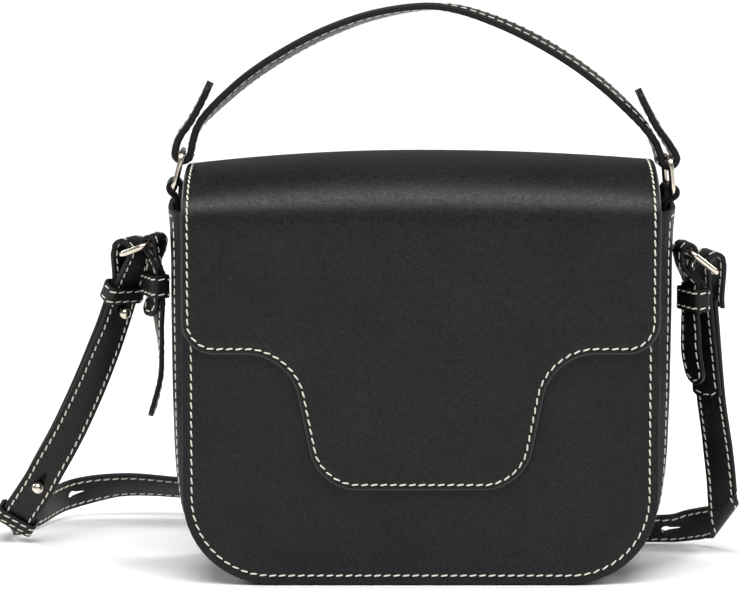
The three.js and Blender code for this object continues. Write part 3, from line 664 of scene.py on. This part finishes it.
# Side tabs: strips round the inner bars of the strap rings, both legs held together by the side keepers.
# The inner leg hangs on as a long free tail, the outer leg ends as a short rounded tongue; sewn all round.
# Table columns: x, y, z of the middle line, then x, y, z of the width direction, tail end first.
side_tab_width = 13
side_tab_leather = 2
side_tab_round = 6
side_tab_margin = 2.0
side_tab_gap = 0.75
side_tab_turn = strap_wire + side_tab_gap + side_tab_leather / 2
left_tab_rows = [
    [-116.9, -3, 67.8, 0.1, 0.995, 0], [-114.5, -3, 76, 0.06, 1, 0], [-112.4, -3, 86, 0, 1, 0],
    [-112.2, -3, 97, -0.08, 1, 0], [-113, -2.8, 108, -0.25, 0.97, 0], [-113.4, -2.52, 117, -0.4, 0.917, 0],
    [-113.4, -2.52, 120.2, -0.4, 0.917, 0], [-113.4, -2.52, 130.8, -0.4, 0.917, 0],
    [-113.4, -2.52, 132.4, -0.4, 0.917, 0], [-112.2, -3.4, 139, 0.2, 0.98, 0],
    *turn_rows(left_bar_a, Vector((0.927, -0.375, 0)), left_along, side_tab_turn, 0, 200, 6),
    [-115.9, -3.6, 138.6, 0.1, 0.995, 0], [-115.6, -3.48, 132.4, -0.4, 0.917, 0],
    [-115.6, -3.48, 130.8, -0.4, 0.917, 0], [-115.6, -3.48, 120.2, -0.4, 0.917, 0],
    [-115.6, -3.48, 118.5, -0.4, 0.917, 0], [-116.5, -3.8, 115.3, -0.5, 0.866, 0],
    [-117.7, -4.2, 112, -0.58, 0.81, 0],
]
right_tab_rows = [
    [120.6, -4.2, 82, -0.57, 0.82, 0], [118.8, -4, 89, -0.57, 0.82, 0], [117.5, -3.8, 97, -0.57, 0.82, 0],
    [117.3, -3.7, 105, -0.55, 0.835, 0], [117.06, -3.7, 111.5, -0.5, 0.866, 0],
    [117.06, -3.7, 114, -0.5, 0.866, 0], [117.06, -3.7, 124.8, -0.5, 0.866, 0],
    [117.06, -3.7, 126.2, -0.5, 0.866, 0], [112.4, -3, 134, -0.15, 0.99, 0],
    *turn_rows(right_bar_a, Vector((-0.966, -0.259, 0)), right_along, side_tab_turn, 0, 200, 6),
    [115.4, -2.9, 134.6, -0.15, 0.99, 0], [119.14, -2.5, 126.2, -0.5, 0.866, 0],
    [119.14, -2.5, 124.8, -0.5, 0.866, 0], [119.14, -2.5, 114, -0.5, 0.866, 0],
    [119.14, -2.5, 112, -0.5, 0.866, 0],
]
side_tab_lays = []
for hand, rows in (("left", left_tab_rows), ("right", right_tab_rows)):
    lay = Lay(rows)
    tab = flat_strip(lay.stations(spacing=2.5, turn=9), side_tab_width, side_tab_leather, side_tab_margin,
                     side_tab_round, side_tab_round)
    lay_down(tab, lay)
    set_piece("tab_side_" + hand, tab, [strap_hide, painted_edge], "leather_black", "side_tab_" + hand)
    side_tab_lays.append(lay)


# Shoulder strap: one long strip, doubled through the left ring and locked by two ball studs. It runs down to
# the floor, round behind the bag and up on the right into its end piece. Keyholes are punched through it.
# Table columns: x, y, z of the middle line, x, y, z of the width direction, and the slant at a fold.
strap_width = 15
strap_leather = 2.2
strap_margin = 2.1
layer_shift = 1.3
strap_round = 3
strap_loop_radius = 4.3
left_run = [
    [-181.9, 56.3, 7.5, 0.88, 0.02, -0.47], [-179.6, 54, 11.1, 0.88, 0.02, -0.47],
    [-176.6, 51, 15.9, 0.88, 0.02, -0.47], [-168.3, 45, 29.1, 0.88, 0.03, -0.47],
    [-164.7, 42.5, 36, 0.88, 0.05, -0.47], [-155.5, 37, 53.2, 0.85, 0.25, -0.46],
    [-145.1, 28.5, 76.2, 0.79, 0.43, -0.43], [-137.3, 20.5, 96.1, 0.73, 0.57, -0.37],
    [-134.1, 16.5, 105, 0.69, 0.66, -0.31], [-131.3, 13.2, 113.4, 0.68, 0.67, -0.28],
    [-129, 10.5, 120.5, 0.68, 0.67, -0.28], [-126.8, 8.2, 125.9, 0.67, 0.68, -0.25],
]
left_fold = [
    [-183.4, 60.4, 7.5, 0.75, -0.21, -0.62], [-184, 63.5, 7.7, 0.55, -0.25, -0.8],
    [-183.4, 66.7, 7.9, 0.33, -0.15, -0.93], [-181.4, 69.9, 8, 0.15, 0.05, -0.99],
    [-172, 84.5, 8.3, -0.05, 0.1, -0.99],
]
floor_run = [
    [-158.3, 108.4, 11.1, -0.14, 0.21, -0.97], [-136, 113.5, 14.5, -0.12, 0.6, -0.79],
    [-110.8, 112.7, 13.7, 0, 0.7, -0.7], [-61.3, 103.1, 9.8, 0.17, 0.65, -0.74],
    [-1.5, 84, 7.6, 0.2, 0.53, -0.82], [53.6, 62.3, 7.4, 0.18, 0.49, -0.85],
    [91.1, 50, 7.4, 0.12, 0.48, -0.87], [110, 48.4, 7.5, 0.06, 0.46, -0.88],
    [115.6, 49, 7.8, 0.14, 0.38, -0.91], [121.3, 47.6, 9.2, 0.26, 0.22, -0.94],
    [127.8, 42.8, 11.3, 0.33, 0.08, -0.94, -0.85],
]
right_run = [
    [133.7, 27, 26.5, -0.82, 0.57, 0.08, -0.75], [132.9, 24.8, 35.2, -0.82, 0.56, 0.1],
    [130.8, 23, 52.2, -0.82, 0.55, 0.15], [127.5, 15.5, 73.2, -0.79, 0.6, 0.12],
    [125.9, 11.9, 92, -0.72, 0.68, 0.1], [125.2, 8.8, 107, -0.6, 0.79, 0.08],
    [124.8, 5.8, 119.5, -0.47, 0.88, 0.05],
]


def curl_rows(outermost, run, width, lean, turn, radius, count):
    """Table rows curling about a line that leans from the run, as where a strap turns a corner."""
    axis = run * math.cos(lean) - width * math.sin(lean)
    last = run * math.sin(lean) + width * math.cos(lean)
    face = run.cross(width)
    centre = outermost - (face * math.cos(turn / 2) - last * math.sin(turn / 2)) * radius
    rows = []
    for k in range(count + 1):
        angle = turn * (1 - k / count)
        place = centre + (face * math.cos(angle) - last * math.sin(angle)) * radius
        place += axis * radius * (turn / 2 - angle) / math.tan(lean)
        ahead = face * math.sin(angle) + last * math.cos(angle)
        rows.append([*place, *(ahead * math.cos(lean) - axis * math.sin(lean)), -1 / math.tan(lean)])
    return rows


right_fold = curl_rows(Vector((135.2, 33, 14.6)), Vector((-0.08, -0.25, 0.97)).normalized(),
                       Vector((-0.816, 0.572, 0.08)).normalized(), math.radians(36), math.pi, 2.6, 6)
doubled_run = Lay(left_run, 1)
strap_loop = left_bar_b + Vector((0.1, 0.3, 1.1))
strap_turn = turn_rows(strap_loop, Vector((0.866, -0.5, 0)), (0.5, 0.866, 0), strap_loop_radius,
                       0, 180, 6)
strap_rows = doubled_run.rows(-layer_shift) + strap_turn + doubled_run.rows(layer_shift)[::-1]
strap_rows += left_fold + floor_run + right_fold + right_run
strap_lay = Lay(strap_rows)
keyhole_radius = 2.1
keyhole_slot = 1.7
keyhole_length = 9
punch_reach = 4


def travelled_to(lay, point):
    """The length along a lay that comes closest to a point."""
    nearest = min(range(len(lay.frames)), key=lambda i: (lay.frames[i][0] - point).length)
    return lay.travel[nearest]


def keyhole_punch(bm, travelled, slotted):
    """Adds the punch for one hole: a keyhole with a slot that runs along the strap, or a plain round hole."""
    middle = Matrix.Translation((travelled, 0, 0))
    hole = bmesh.ops.create_circle(bm, cap_ends=True, segments=24, radius=keyhole_radius, matrix=middle)
    made = hole["verts"]
    if slotted:
        for vert in made:
            if vert.co.x - travelled > keyhole_radius * 0.85:
                vert.co.x += keyhole_length - 2 * keyhole_radius
                vert.co.y = math.copysign(min(abs(vert.co.y), keyhole_slot / 2), vert.co.y)
    faces = list({f for v in made for f in v.link_faces})
    drawn = bmesh.ops.extrude_face_region(bm, geom=faces)
    raised = [g for g in drawn["geom"] if isinstance(g, bmesh.types.BMVert)]
    lowered = [v for v in made if v.is_valid]
    bmesh.ops.translate(bm, vec=(0, 0, punch_reach), verts=raised)
    bmesh.ops.translate(bm, vec=(0, 0, -punch_reach), verts=lowered)


def punched(bm, punch):
    """The flat strip with the punch's holes cut out of it."""
    made = []
    for name, source in (("flat_strip", bm), ("punch", punch)):
        bmesh.ops.recalc_face_normals(source, faces=source.faces)
        mesh = bpy.data.meshes.new(name)
        source.to_mesh(mesh)
        source.free()
        for material in (strap_hide, painted_edge):
            mesh.materials.append(material)
        item = bpy.data.objects.new(name, mesh)
        bpy.context.scene.collection.objects.link(item)
        made.append(item)
    cut = made[0].modifiers.new("cut", "BOOLEAN")
    cut.operation = "DIFFERENCE"
    cut.solver = "EXACT"
    cut.object = made[1]
    result = bmesh.new()
    result.from_object(made[0], bpy.context.evaluated_depsgraph_get())
    for item in made:
        mesh = item.data
        bpy.data.objects.remove(item)
        bpy.data.meshes.remove(mesh)
    return result


punch = bmesh.new()
for row in (9, 3):
    place, run, width, face = doubled_run.frames[row]
    keyhole_punch(punch, travelled_to(strap_lay, place - face * layer_shift), True)
    keyhole_punch(punch, travelled_to(strap_lay, place + face * layer_shift), False)
for row in (floor_run[0], floor_run[7]):
    keyhole_punch(punch, travelled_to(strap_lay, Vector(row[:3])), True)
strap = flat_strip(strap_lay.stations(spacing=3, turn=7), strap_width, strap_leather, strap_margin,
                   strap_round)
for face in punch.faces:
    face.material_index = 1
strap = punched(strap, punch)
set_piece("strap_strip", lay_down(strap, strap_lay), [strap_hide, painted_edge], "leather_black", "strap")


# Strap end piece: a folded strip round the outer bar of the right ring, with the strap end sewn between its
# legs. The inner leg is long and sewn down, the outer leg is short and cut square.
chape_leather = 2
chape_inner_shift = 2.55
chape_outer_shift = 3.55
chape_loop_rise = 4
chape_loop_radius = 3.6
chape_short_end = 112
chape_run = Lay(right_run[3:], 3)
chape_loop = right_bar_b + upward * chape_loop_rise
chape_rows = chape_run.rows(chape_inner_shift)
chape_rows += turn_rows(chape_loop, Vector((-0.94, -0.34, 0)), (-0.34, 0.94, 0), chape_loop_radius, 0, 180, 6)
chape_rows += [row for row in chape_run.rows(-chape_outer_shift)[::-1] if row[2] > chape_short_end]
chape_lay = Lay(chape_rows)
chape = flat_strip(chape_lay.stations(spacing=2.5, turn=9), strap_width, chape_leather, strap_margin,
                   strap_round)
lay_down(chape, chape_lay)
set_piece("strap_end_piece", chape, [strap_hide, painted_edge], "leather_black", "strap_chape")


# Keepers: closed bands of thin leather, sewn along both edges, slid over two layers of tab or strap to hold
# them together. Two sit on the side tabs and two on the doubled stretch of the shoulder strap.
keeper_leather = 1.3
keeper_corner = 1.7
keeper_rounding = 0.45
tab_keeper_height = 10


def keeper(name, cad_node, centre, across, axis, half_width, half_depth, height):
    """A closed band: a rounded rectangle drawn up, given its thickness and rounded at the rims."""
    bm = bmesh.new()
    wide, deep = half_width + keeper_leather, half_depth + keeper_leather
    signs = ((-1, -1), (1, -1), (1, 1), (-1, 1))
    outline = [bm.verts.new((x * wide, y * deep, -height / 2)) for x, y in signs]
    for i, vert in enumerate(outline):
        bm.edges.new((outline[i - 1], vert))
    corner = keeper_corner + keeper_leather / 2
    bmesh.ops.bevel(bm, geom=outline, offset=corner, affect="VERTICES", segments=6, profile=0.5, material=-1)
    drawn_out(bm, list(bm.verts) + list(bm.edges), (0, 0, height / 6), 6)
    bmesh.ops.recalc_face_normals(bm, faces=bm.faces)
    widest = max(bm.faces, key=lambda f: f.calc_center_median().x)
    if widest.normal.x < 0:
        bmesh.ops.reverse_faces(bm, faces=bm.faces)
    bmesh.ops.solidify(bm, geom=list(bm.faces), thickness=keeper_leather)
    rims = [e for e in bm.edges if e.calc_face_angle(0) > 1.2]
    bmesh.ops.bevel(bm, geom=rims, offset=keeper_rounding, affect="EDGES", segments=3, profile=0.5,
                    material=-1)
    for face in bm.faces:
        face.material_index = int(abs(face.calc_center_median().z) > height / 2 - 0.3)
    depth = axis.cross(across).normalized()
    turned = Matrix((across.normalized(), depth, axis.normalized())).transposed().to_4x4()
    bmesh.ops.transform(bm, matrix=Matrix.Translation(centre) @ turned, verts=bm.verts)
    set_piece(name, bm, [strap_hide, painted_edge], "leather_black", cad_node)
    return Matrix.Translation(centre) @ turned, wide, deep, height


tab_shift = 1.2
tab_keeper_slack = 0.6
strap_keeper_slack = 0.75
tab_layers = tab_shift + side_tab_leather / 2 + 0.5
strap_layers = layer_shift + strap_leather / 2 + 0.6
keepers = []
for name, cad_node, centre, across in (
        ("keeper_side_left", "side_keeper_left", Vector((-114.5, -3, 125.5)), Vector((-0.4, 0.917, 0))),
        ("keeper_side_right", "side_keeper_right", Vector((118.1, -3.1, 119.4)), Vector((-0.5, 0.866, 0)))):
    keepers.append(keeper(name, cad_node, centre, across, upward, side_tab_width / 2 + tab_keeper_slack,
                          tab_layers, tab_keeper_height))
for name, cad_node, row, height in (("keeper_strap_upper", "strap_keeper_upper", 10, 8.5),
                                    ("keeper_strap_lower", "strap_keeper_lower", 1, 6.6)):
    place, run, width, face = doubled_run.frames[row]
    keepers.append(keeper(name, cad_node, place, width, run, strap_width / 2 + strap_keeper_slack,
                          strap_layers, height))


# Ball studs: turned pale gold heads on thin necks, riveted through a flat base behind both layers of strap.
# The keyhole slot of the front layer is pressed over the ball to lock the length.
stud_ball = 2.6
stud_neck = 1.2
stud_base = 3
stud_base_thick = 1.1
stud_base_bevel = 0.3
stud_gap = 0.8
stud_seat = 0.1
stud_sunk = 0.82


def ball_stud(name, cad_node, row):
    """One stud, spun from its profile about its own axis."""
    back_face = layer_shift + strap_leather / 2 + stud_gap
    centre = back_face + stud_seat + stud_ball * stud_sunk
    rear = -back_face - stud_base_thick
    profile = [(0, rear), (stud_base - stud_base_bevel, rear), (stud_base, rear + stud_base_bevel),
               (stud_base, -back_face), (stud_neck, -back_face)]
    start = math.asin(stud_neck / stud_ball)
    for k in range(15):
        angle = (math.pi - start) * (1 - k / 14)
        profile.append((max(0, stud_ball * math.sin(angle)), centre + stud_ball * math.cos(angle)))
    bm = bmesh.new()
    line = [bm.verts.new((radius, 0, height)) for radius, height in profile]
    edges = [bm.edges.new(pair) for pair in zip(line, line[1:])]
    bmesh.ops.spin(bm, geom=line + edges, cent=(0, 0, 0), axis=(0, 0, 1), angle=2 * math.pi, steps=28,
                   use_merge=True)
    bmesh.ops.remove_doubles(bm, verts=bm.verts, dist=0.001)
    place, run, width, face = doubled_run.frames[row]
    turned = Matrix((width, run, -face)).transposed().to_4x4()
    bmesh.ops.transform(bm, matrix=Matrix.Translation(place) @ turned, verts=bm.verts)
    set_piece(name, bm, [gold_wire], "metal_pale_gold", cad_node)


ball_stud("stud_ball_upper", "stud_upper", 9)
ball_stud("stud_ball_lower", "stud_lower", 3)


# Sewing: thick cream twisted thread in a saddle stitch, each stitch lying slightly aslant in its pressed
# line. Every seam is one piece made of many short stitches.
stitch_pitch = 4.1
stitch_half = 1.56
stitch_wide = 0.37
stitch_high = 0.38
stitch_slant = math.radians(9)
plate_stitch_depth = 0.12
strip_stitch_depth = 0.1


def cream_thread(name):
    """Cream thread: two twisted plies along each stitch, soft and matt, with painted shade in the grooves
    between the plies.
    """
    material, tree, shader = new_material(name)
    twist = node(tree, "Mapping", Rotation=(0.0, 0.0, 0.6), Scale=(1.0, 2.0, 1.0))
    tree.links.new(node(tree, "UVMap").outputs["UV"], twist.inputs["Vector"])
    wave = node(tree, "TexWave", Scale=2.4, Distortion=0.6, Detail=1.0)
    tree.links.new(twist.outputs["Vector"], wave.inputs["Vector"])
    plies = wave.outputs["Fac"]
    # Painted shade: the ramp darkens the thread where the wave marks the grooves between the plies.
    tone = ramp(tree, plies, [(0.0, (0.60, 0.55, 0.45)), (0.6, (0.84, 0.80, 0.70))])
    tree.links.new(tone, shader.inputs["Base Color"])
    tree.links.new(relief(tree, plies, 0.35, 0.0002), shader.inputs["Normal"])
    shader.inputs["Roughness"].default_value = 0.72
    shader.inputs["Specular IOR Level"].default_value = 0.3
    return material


thread = cream_thread("cream_thread")
rod = bmesh.new()
rod.loops.layers.uv.new("thread")
bmesh.ops.create_uvsphere(rod, u_segments=8, v_segments=6, radius=1, calc_uvs=True)
for vert in rod.verts:
    blunt = max(math.hypot(vert.co.x, vert.co.y), 0.01) ** -0.65
    vert.co *= Vector((blunt * stitch_wide, blunt * stitch_high, stitch_half))
stitch_mesh = bpy.data.meshes.new("stitch")
rod.to_mesh(stitch_mesh)
rod.free()


def sew(name, stitches):
    """One seam: every stitch a short blunt rod at its place, along its run and on its normal."""
    seam = bmesh.new()
    for place, run, normal in stitches:
        run = (Matrix.Rotation(stitch_slant, 3, normal) @ run).normalized()
        across = normal.cross(run).normalized()
        turned = Matrix((across, run.cross(across), run)).transposed().to_4x4()
        mesh = stitch_mesh.copy()
        mesh.transform(Matrix.Translation(place) @ turned)
        seam.from_mesh(mesh)
        bpy.data.meshes.remove(mesh)
    return set_piece(name, seam, [thread], "thread_cream")


def spaced(length):
    """Even places along a seam, close to the stitch pitch."""
    count = max(1, round(length / stitch_pitch))
    return [length * (k + 0.5) / count for k in range(count)]


def along_line(points, closed=False):
    """Evenly spaced places and runs along a line of points."""
    points = [Vector(p) for p in points]
    if closed:
        points.append(points[0].copy())
    travel = [0.0]
    for a, b in zip(points, points[1:]):
        travel.append(travel[-1] + (b - a).length)
    found = []
    for goal in spaced(travel[-1]):
        i = min(max(bisect.bisect(travel, goal), 1), len(travel) - 1)
        step = points[i] - points[i - 1]
        share = (goal - travel[i - 1]) / max(step.length, 1e-9)
        found.append((points[i - 1] + step * share, step.normalized()))
    return found


def inner_outline(corners, inset):
    """The sewing line inside a cut, each corner rounded about the same centre."""
    bm = rounded_cut(corners)
    whole = bm.faces[:]
    bmesh.ops.inset_region(bm, faces=whole, thickness=inset, depth=0, use_boundary=True, use_even_offset=True)
    inner = max(bm.faces, key=lambda f: f.calc_area())
    found = [v.co.copy() for v in inner.verts]
    bm.free()
    return found


flap_stitches = []
for spot, run in along_line(inner_outline(flap_right + flap_left, flap_margin), closed=True):
    ahead = spot + run * 0.5
    place = over_the_top(spot.x, spot.y, -plate_stitch_depth)
    outward = over_the_top(spot.x, spot.y, 1) - over_the_top(spot.x, spot.y, 0)
    along = over_the_top(ahead.x, ahead.y, -plate_stitch_depth) - place
    flap_stitches.append((place, along.normalized(), outward.normalized()))
sew("thread_flap", flap_stitches)

panel_seam_end = 8
for name, top, side in (("thread_front_panel", front_panel_top, -1),
                        ("thread_back_panel", back_panel_top, 1)):
    rim = inner_outline(panel_outline(top), panel_margin)
    rim = [p for p in rim if p.y < top - panel_margin - 2.5]
    first = max(range(len(rim)), key=lambda i: (rim[i] - rim[i - 1]).length if rim[i].y > top - 40 else 0)
    rim = rim[first:] + rim[:first]
    end = top - panel_seam_end
    rim = [Vector((rim[0].x, end, 0))] + rim + [Vector((rim[-1].x, end, 0))]
    stitches = []
    for spot, run in along_line(rim):
        place = Vector((spot.x, side * (panel_outer - plate_stitch_depth), spot.y))
        stitches.append((place, Vector((run.x, 0, run.y)), Vector((0, side, 0))))
    sew(name, stitches)

gusset_sewn = 24.5
gusset_row_start = 4
gusset_end_row = 2.4
gusset_stitches = []
row_line = [(-gusset_half_width, gusset_top - gusset_row_start - 3 * k) for k in range(39)]
for k in range(1, 15):
    angle = math.pi + math.pi / 2 * k / 15
    row_line.append((panel_corner * math.cos(angle) - base_half, panel_corner * (1 + math.sin(angle))))
base_line = [(-base_half + 2 * base_half * k / 10, 0) for k in range(11)]
row_line += base_line + [(-x, z) for x, z in reversed(row_line)]


def on_gusset(x, y, z):
    """A place on the gusset's outer side above a point of its plain strip, and the outward direction."""
    place = Vector((x, y, z))
    out = gusset_out(place)
    return place + out * (belly(x, y, z) - strip_stitch_depth), out


for side in (-1, 1):
    for spot, run in along_line([(x, z, 0) for x, z in row_line]):
        place, out = on_gusset(spot.x, side * gusset_sewn, spot.y)
        gusset_stitches.append((place, Vector((run.x, 0, run.y)), out))
for side in (-1, 1):
    end_height = gusset_top - gusset_end_row
    end_line = [on_gusset(side * gusset_half_width, y, end_height)[0] for y in range(-24, 25, 2)]
    for place, run in along_line(end_line):
        gusset_stitches.append((place, run, Vector((side, 0, 0))))
sew("thread_gusset", gusset_stitches)


def strip_seam(lay, width, leather, margin, faces, ranges):
    """Stitches along both edges of a strip, on the named faces and between the given travelled lengths."""
    stitches = []
    for start, end in ranges:
        count = math.ceil((end - start) / 1.5)
        stops = [start + (end - start) * k / count for k in range(count + 1)]
        for edge in (-1, 1):
            rim = [lay.at(stop)[0] + lay.across(stop) * edge * (width / 2 - margin) for stop in stops]
            gone = [0.0]
            for a, b in zip(rim, rim[1:]):
                gone.append(gone[-1] + (b - a).length)
            for goal in spaced(gone[-1]):
                i = min(max(bisect.bisect(gone, goal), 1), count)
                share = (goal - gone[i - 1]) / max(gone[i] - gone[i - 1], 1e-9)
                face = lay.at(stops[i - 1] + (stops[i] - stops[i - 1]) * share)[3].normalized()
                spot = rim[i - 1].lerp(rim[i], share)
                for up in faces:
                    on_face = spot + face * up * (leather / 2 - strip_stitch_depth)
                    stitches.append((on_face, (rim[i] - rim[i - 1]).normalized(), face * up))
    return stitches


def tip_seam(lay, width, leather, margin, reach, faces, end):
    """Stitches round the tip of a strip, on the named faces, at its start or its end."""
    stitches = []
    line = []
    for k in range(25):
        angle = math.radians(-86 + 172 * k / 24)
        gone = reach - (reach - margin) * math.cos(angle)
        line.append((lay.length - gone if end else gone, (width / 2 - margin) * math.sin(angle), 0))
    for spot, run in along_line(line):
        place, along, across, face = lay.at(spot.x)
        for up in faces:
            on_face = place + across * spot.y + face * up * (leather / 2 - strip_stitch_depth)
            slope = along * run.x + across * run.y
            stitches.append((on_face, slope.normalized(), (face * up).normalized()))
    return stitches


sew("thread_handle", strip_seam(handle_lay, handle_width, handle_leather, handle_margin, (-1, 1),
                                [(4, handle_lay.length - 4)]))
tab_tip = 6.5
tab_stitches = []
for lay in side_tab_lays:
    tab_stitches += strip_seam(lay, side_tab_width, side_tab_leather, side_tab_margin, (-1, 1),
                               [(tab_tip, lay.length - tab_tip)])
    for end in (False, True):
        tab_stitches += tip_seam(lay, side_tab_width, side_tab_leather, side_tab_margin, tab_tip,
                                 (-1, 1), end)
sew("thread_side_tabs", tab_stitches)
strap_sewn_in = 42
sew("thread_strap", strip_seam(strap_lay, strap_width, strap_leather, strap_margin, (-1, 1),
                               [(3, strap_lay.length - strap_sewn_in)]))
end_stitches = strip_seam(chape_lay, strap_width, chape_leather, strap_margin, (-1, 1),
                          [(5, chape_lay.length - 2)])
end_stitches += tip_seam(chape_lay, strap_width, chape_leather, strap_margin, 4.5, (-1, 1), False)
sew("thread_end_piece", end_stitches)
keeper_seam = 1.7
keeper_stitches = []
for matrix, wide, deep, height in keepers:
    corner = keeper_corner + keeper_leather / 2
    rectangle = [(-wide, -deep, corner), (wide, -deep, corner), (wide, deep, corner), (-wide, deep, corner)]
    loop = inner_outline(rectangle, strip_stitch_depth)
    for level in (-1, 1):
        for spot, run in along_line(loop, closed=True):
            local = Vector((spot.x, spot.y, level * (height / 2 - keeper_seam)))
            normal = Vector((run.y, -run.x, 0))
            keeper_stitches.append((matrix @ local, matrix.to_3x3() @ run, matrix.to_3x3() @ normal))
sew("thread_keepers", keeper_stitches)


# Studio: a wide pale floor under a broad softbox above the front, and two lights on the floor behind the bag.
# The camera stands at the photograph's angle, nine degrees above the level of the bag's base.
def pale_floor(name):
    """Matt off-white studio floor with a barely visible unevenness."""
    material, tree, shader = new_material(name)
    place = node(tree, "TexCoord").outputs["Object"]
    tone = ramp(tree, noise(tree, place, 3.0), [(0.3, 0.86), (0.7, 0.88)])
    tree.links.new(tone, shader.inputs["Base Color"])
    shader.inputs["Roughness"].default_value = 0.9
    shader.inputs["Specular IOR Level"].default_value = 0.1
    return material


floor_half = 20
floor_drop = 0.0002
ground = bmesh.new()
bmesh.ops.create_grid(ground, x_segments=4, y_segments=4, size=floor_half)
bmesh.ops.translate(ground, vec=(0, 0, -floor_drop), verts=ground.verts)
floor_mesh = bpy.data.meshes.new("floor")
ground.to_mesh(floor_mesh)
ground.free()
floor_mesh.materials.append(pale_floor("pale_floor"))
floor = bpy.data.objects.new("floor", floor_mesh)
bpy.context.scene.collection.objects.link(floor)

surround = bpy.data.worlds.new("surround")
surround.use_nodes = True
surround.node_tree.nodes["Background"].inputs["Color"].default_value = (0.95, 0.96, 1.0, 1)
surround.node_tree.nodes["Background"].inputs["Strength"].default_value = 0.24
bpy.context.scene.world = surround


def soft_light(name, place, target, width, height, watts):
    """A rectangular softbox at a place, turned to a target, sizes in metres."""
    data = bpy.data.lights.new(name, "AREA")
    data.shape = "RECTANGLE"
    data.size, data.size_y, data.energy = width, height, watts
    lamp = bpy.data.objects.new(name, data)
    lamp.location = place
    lamp.rotation_euler = (Vector(target) - Vector(place)).to_track_quat("-Z", "Y").to_euler()
    bpy.context.scene.collection.objects.link(lamp)


soft_light("front_top_softbox", (0, -1.2, 2.4), (0, 0, 0.12), 2.4, 1.5, 86)
soft_light("left_floor_light", (-3.0, 2.2, 2.0), (0, 1.7, 0), 1.6, 1.6, 105)
soft_light("right_floor_light", (3.0, 2.2, 2.0), (0, 1.7, 0), 1.6, 1.6, 105)

view_rise = 9
view = bpy.data.cameras.new("photo_camera")
view.lens = 260.2
view.sensor_width = 36
view.clip_end = 100
camera = bpy.data.objects.new("photo_camera", view)
camera.location = (-0.0217, -2.2891, 0.4832)
camera.rotation_euler = (math.radians(90 - view_rise), 0, 0)
bpy.context.scene.collection.objects.link(camera)
bpy.context.scene.camera = camera
bpy.context.scene.view_settings.view_transform = "Standard"
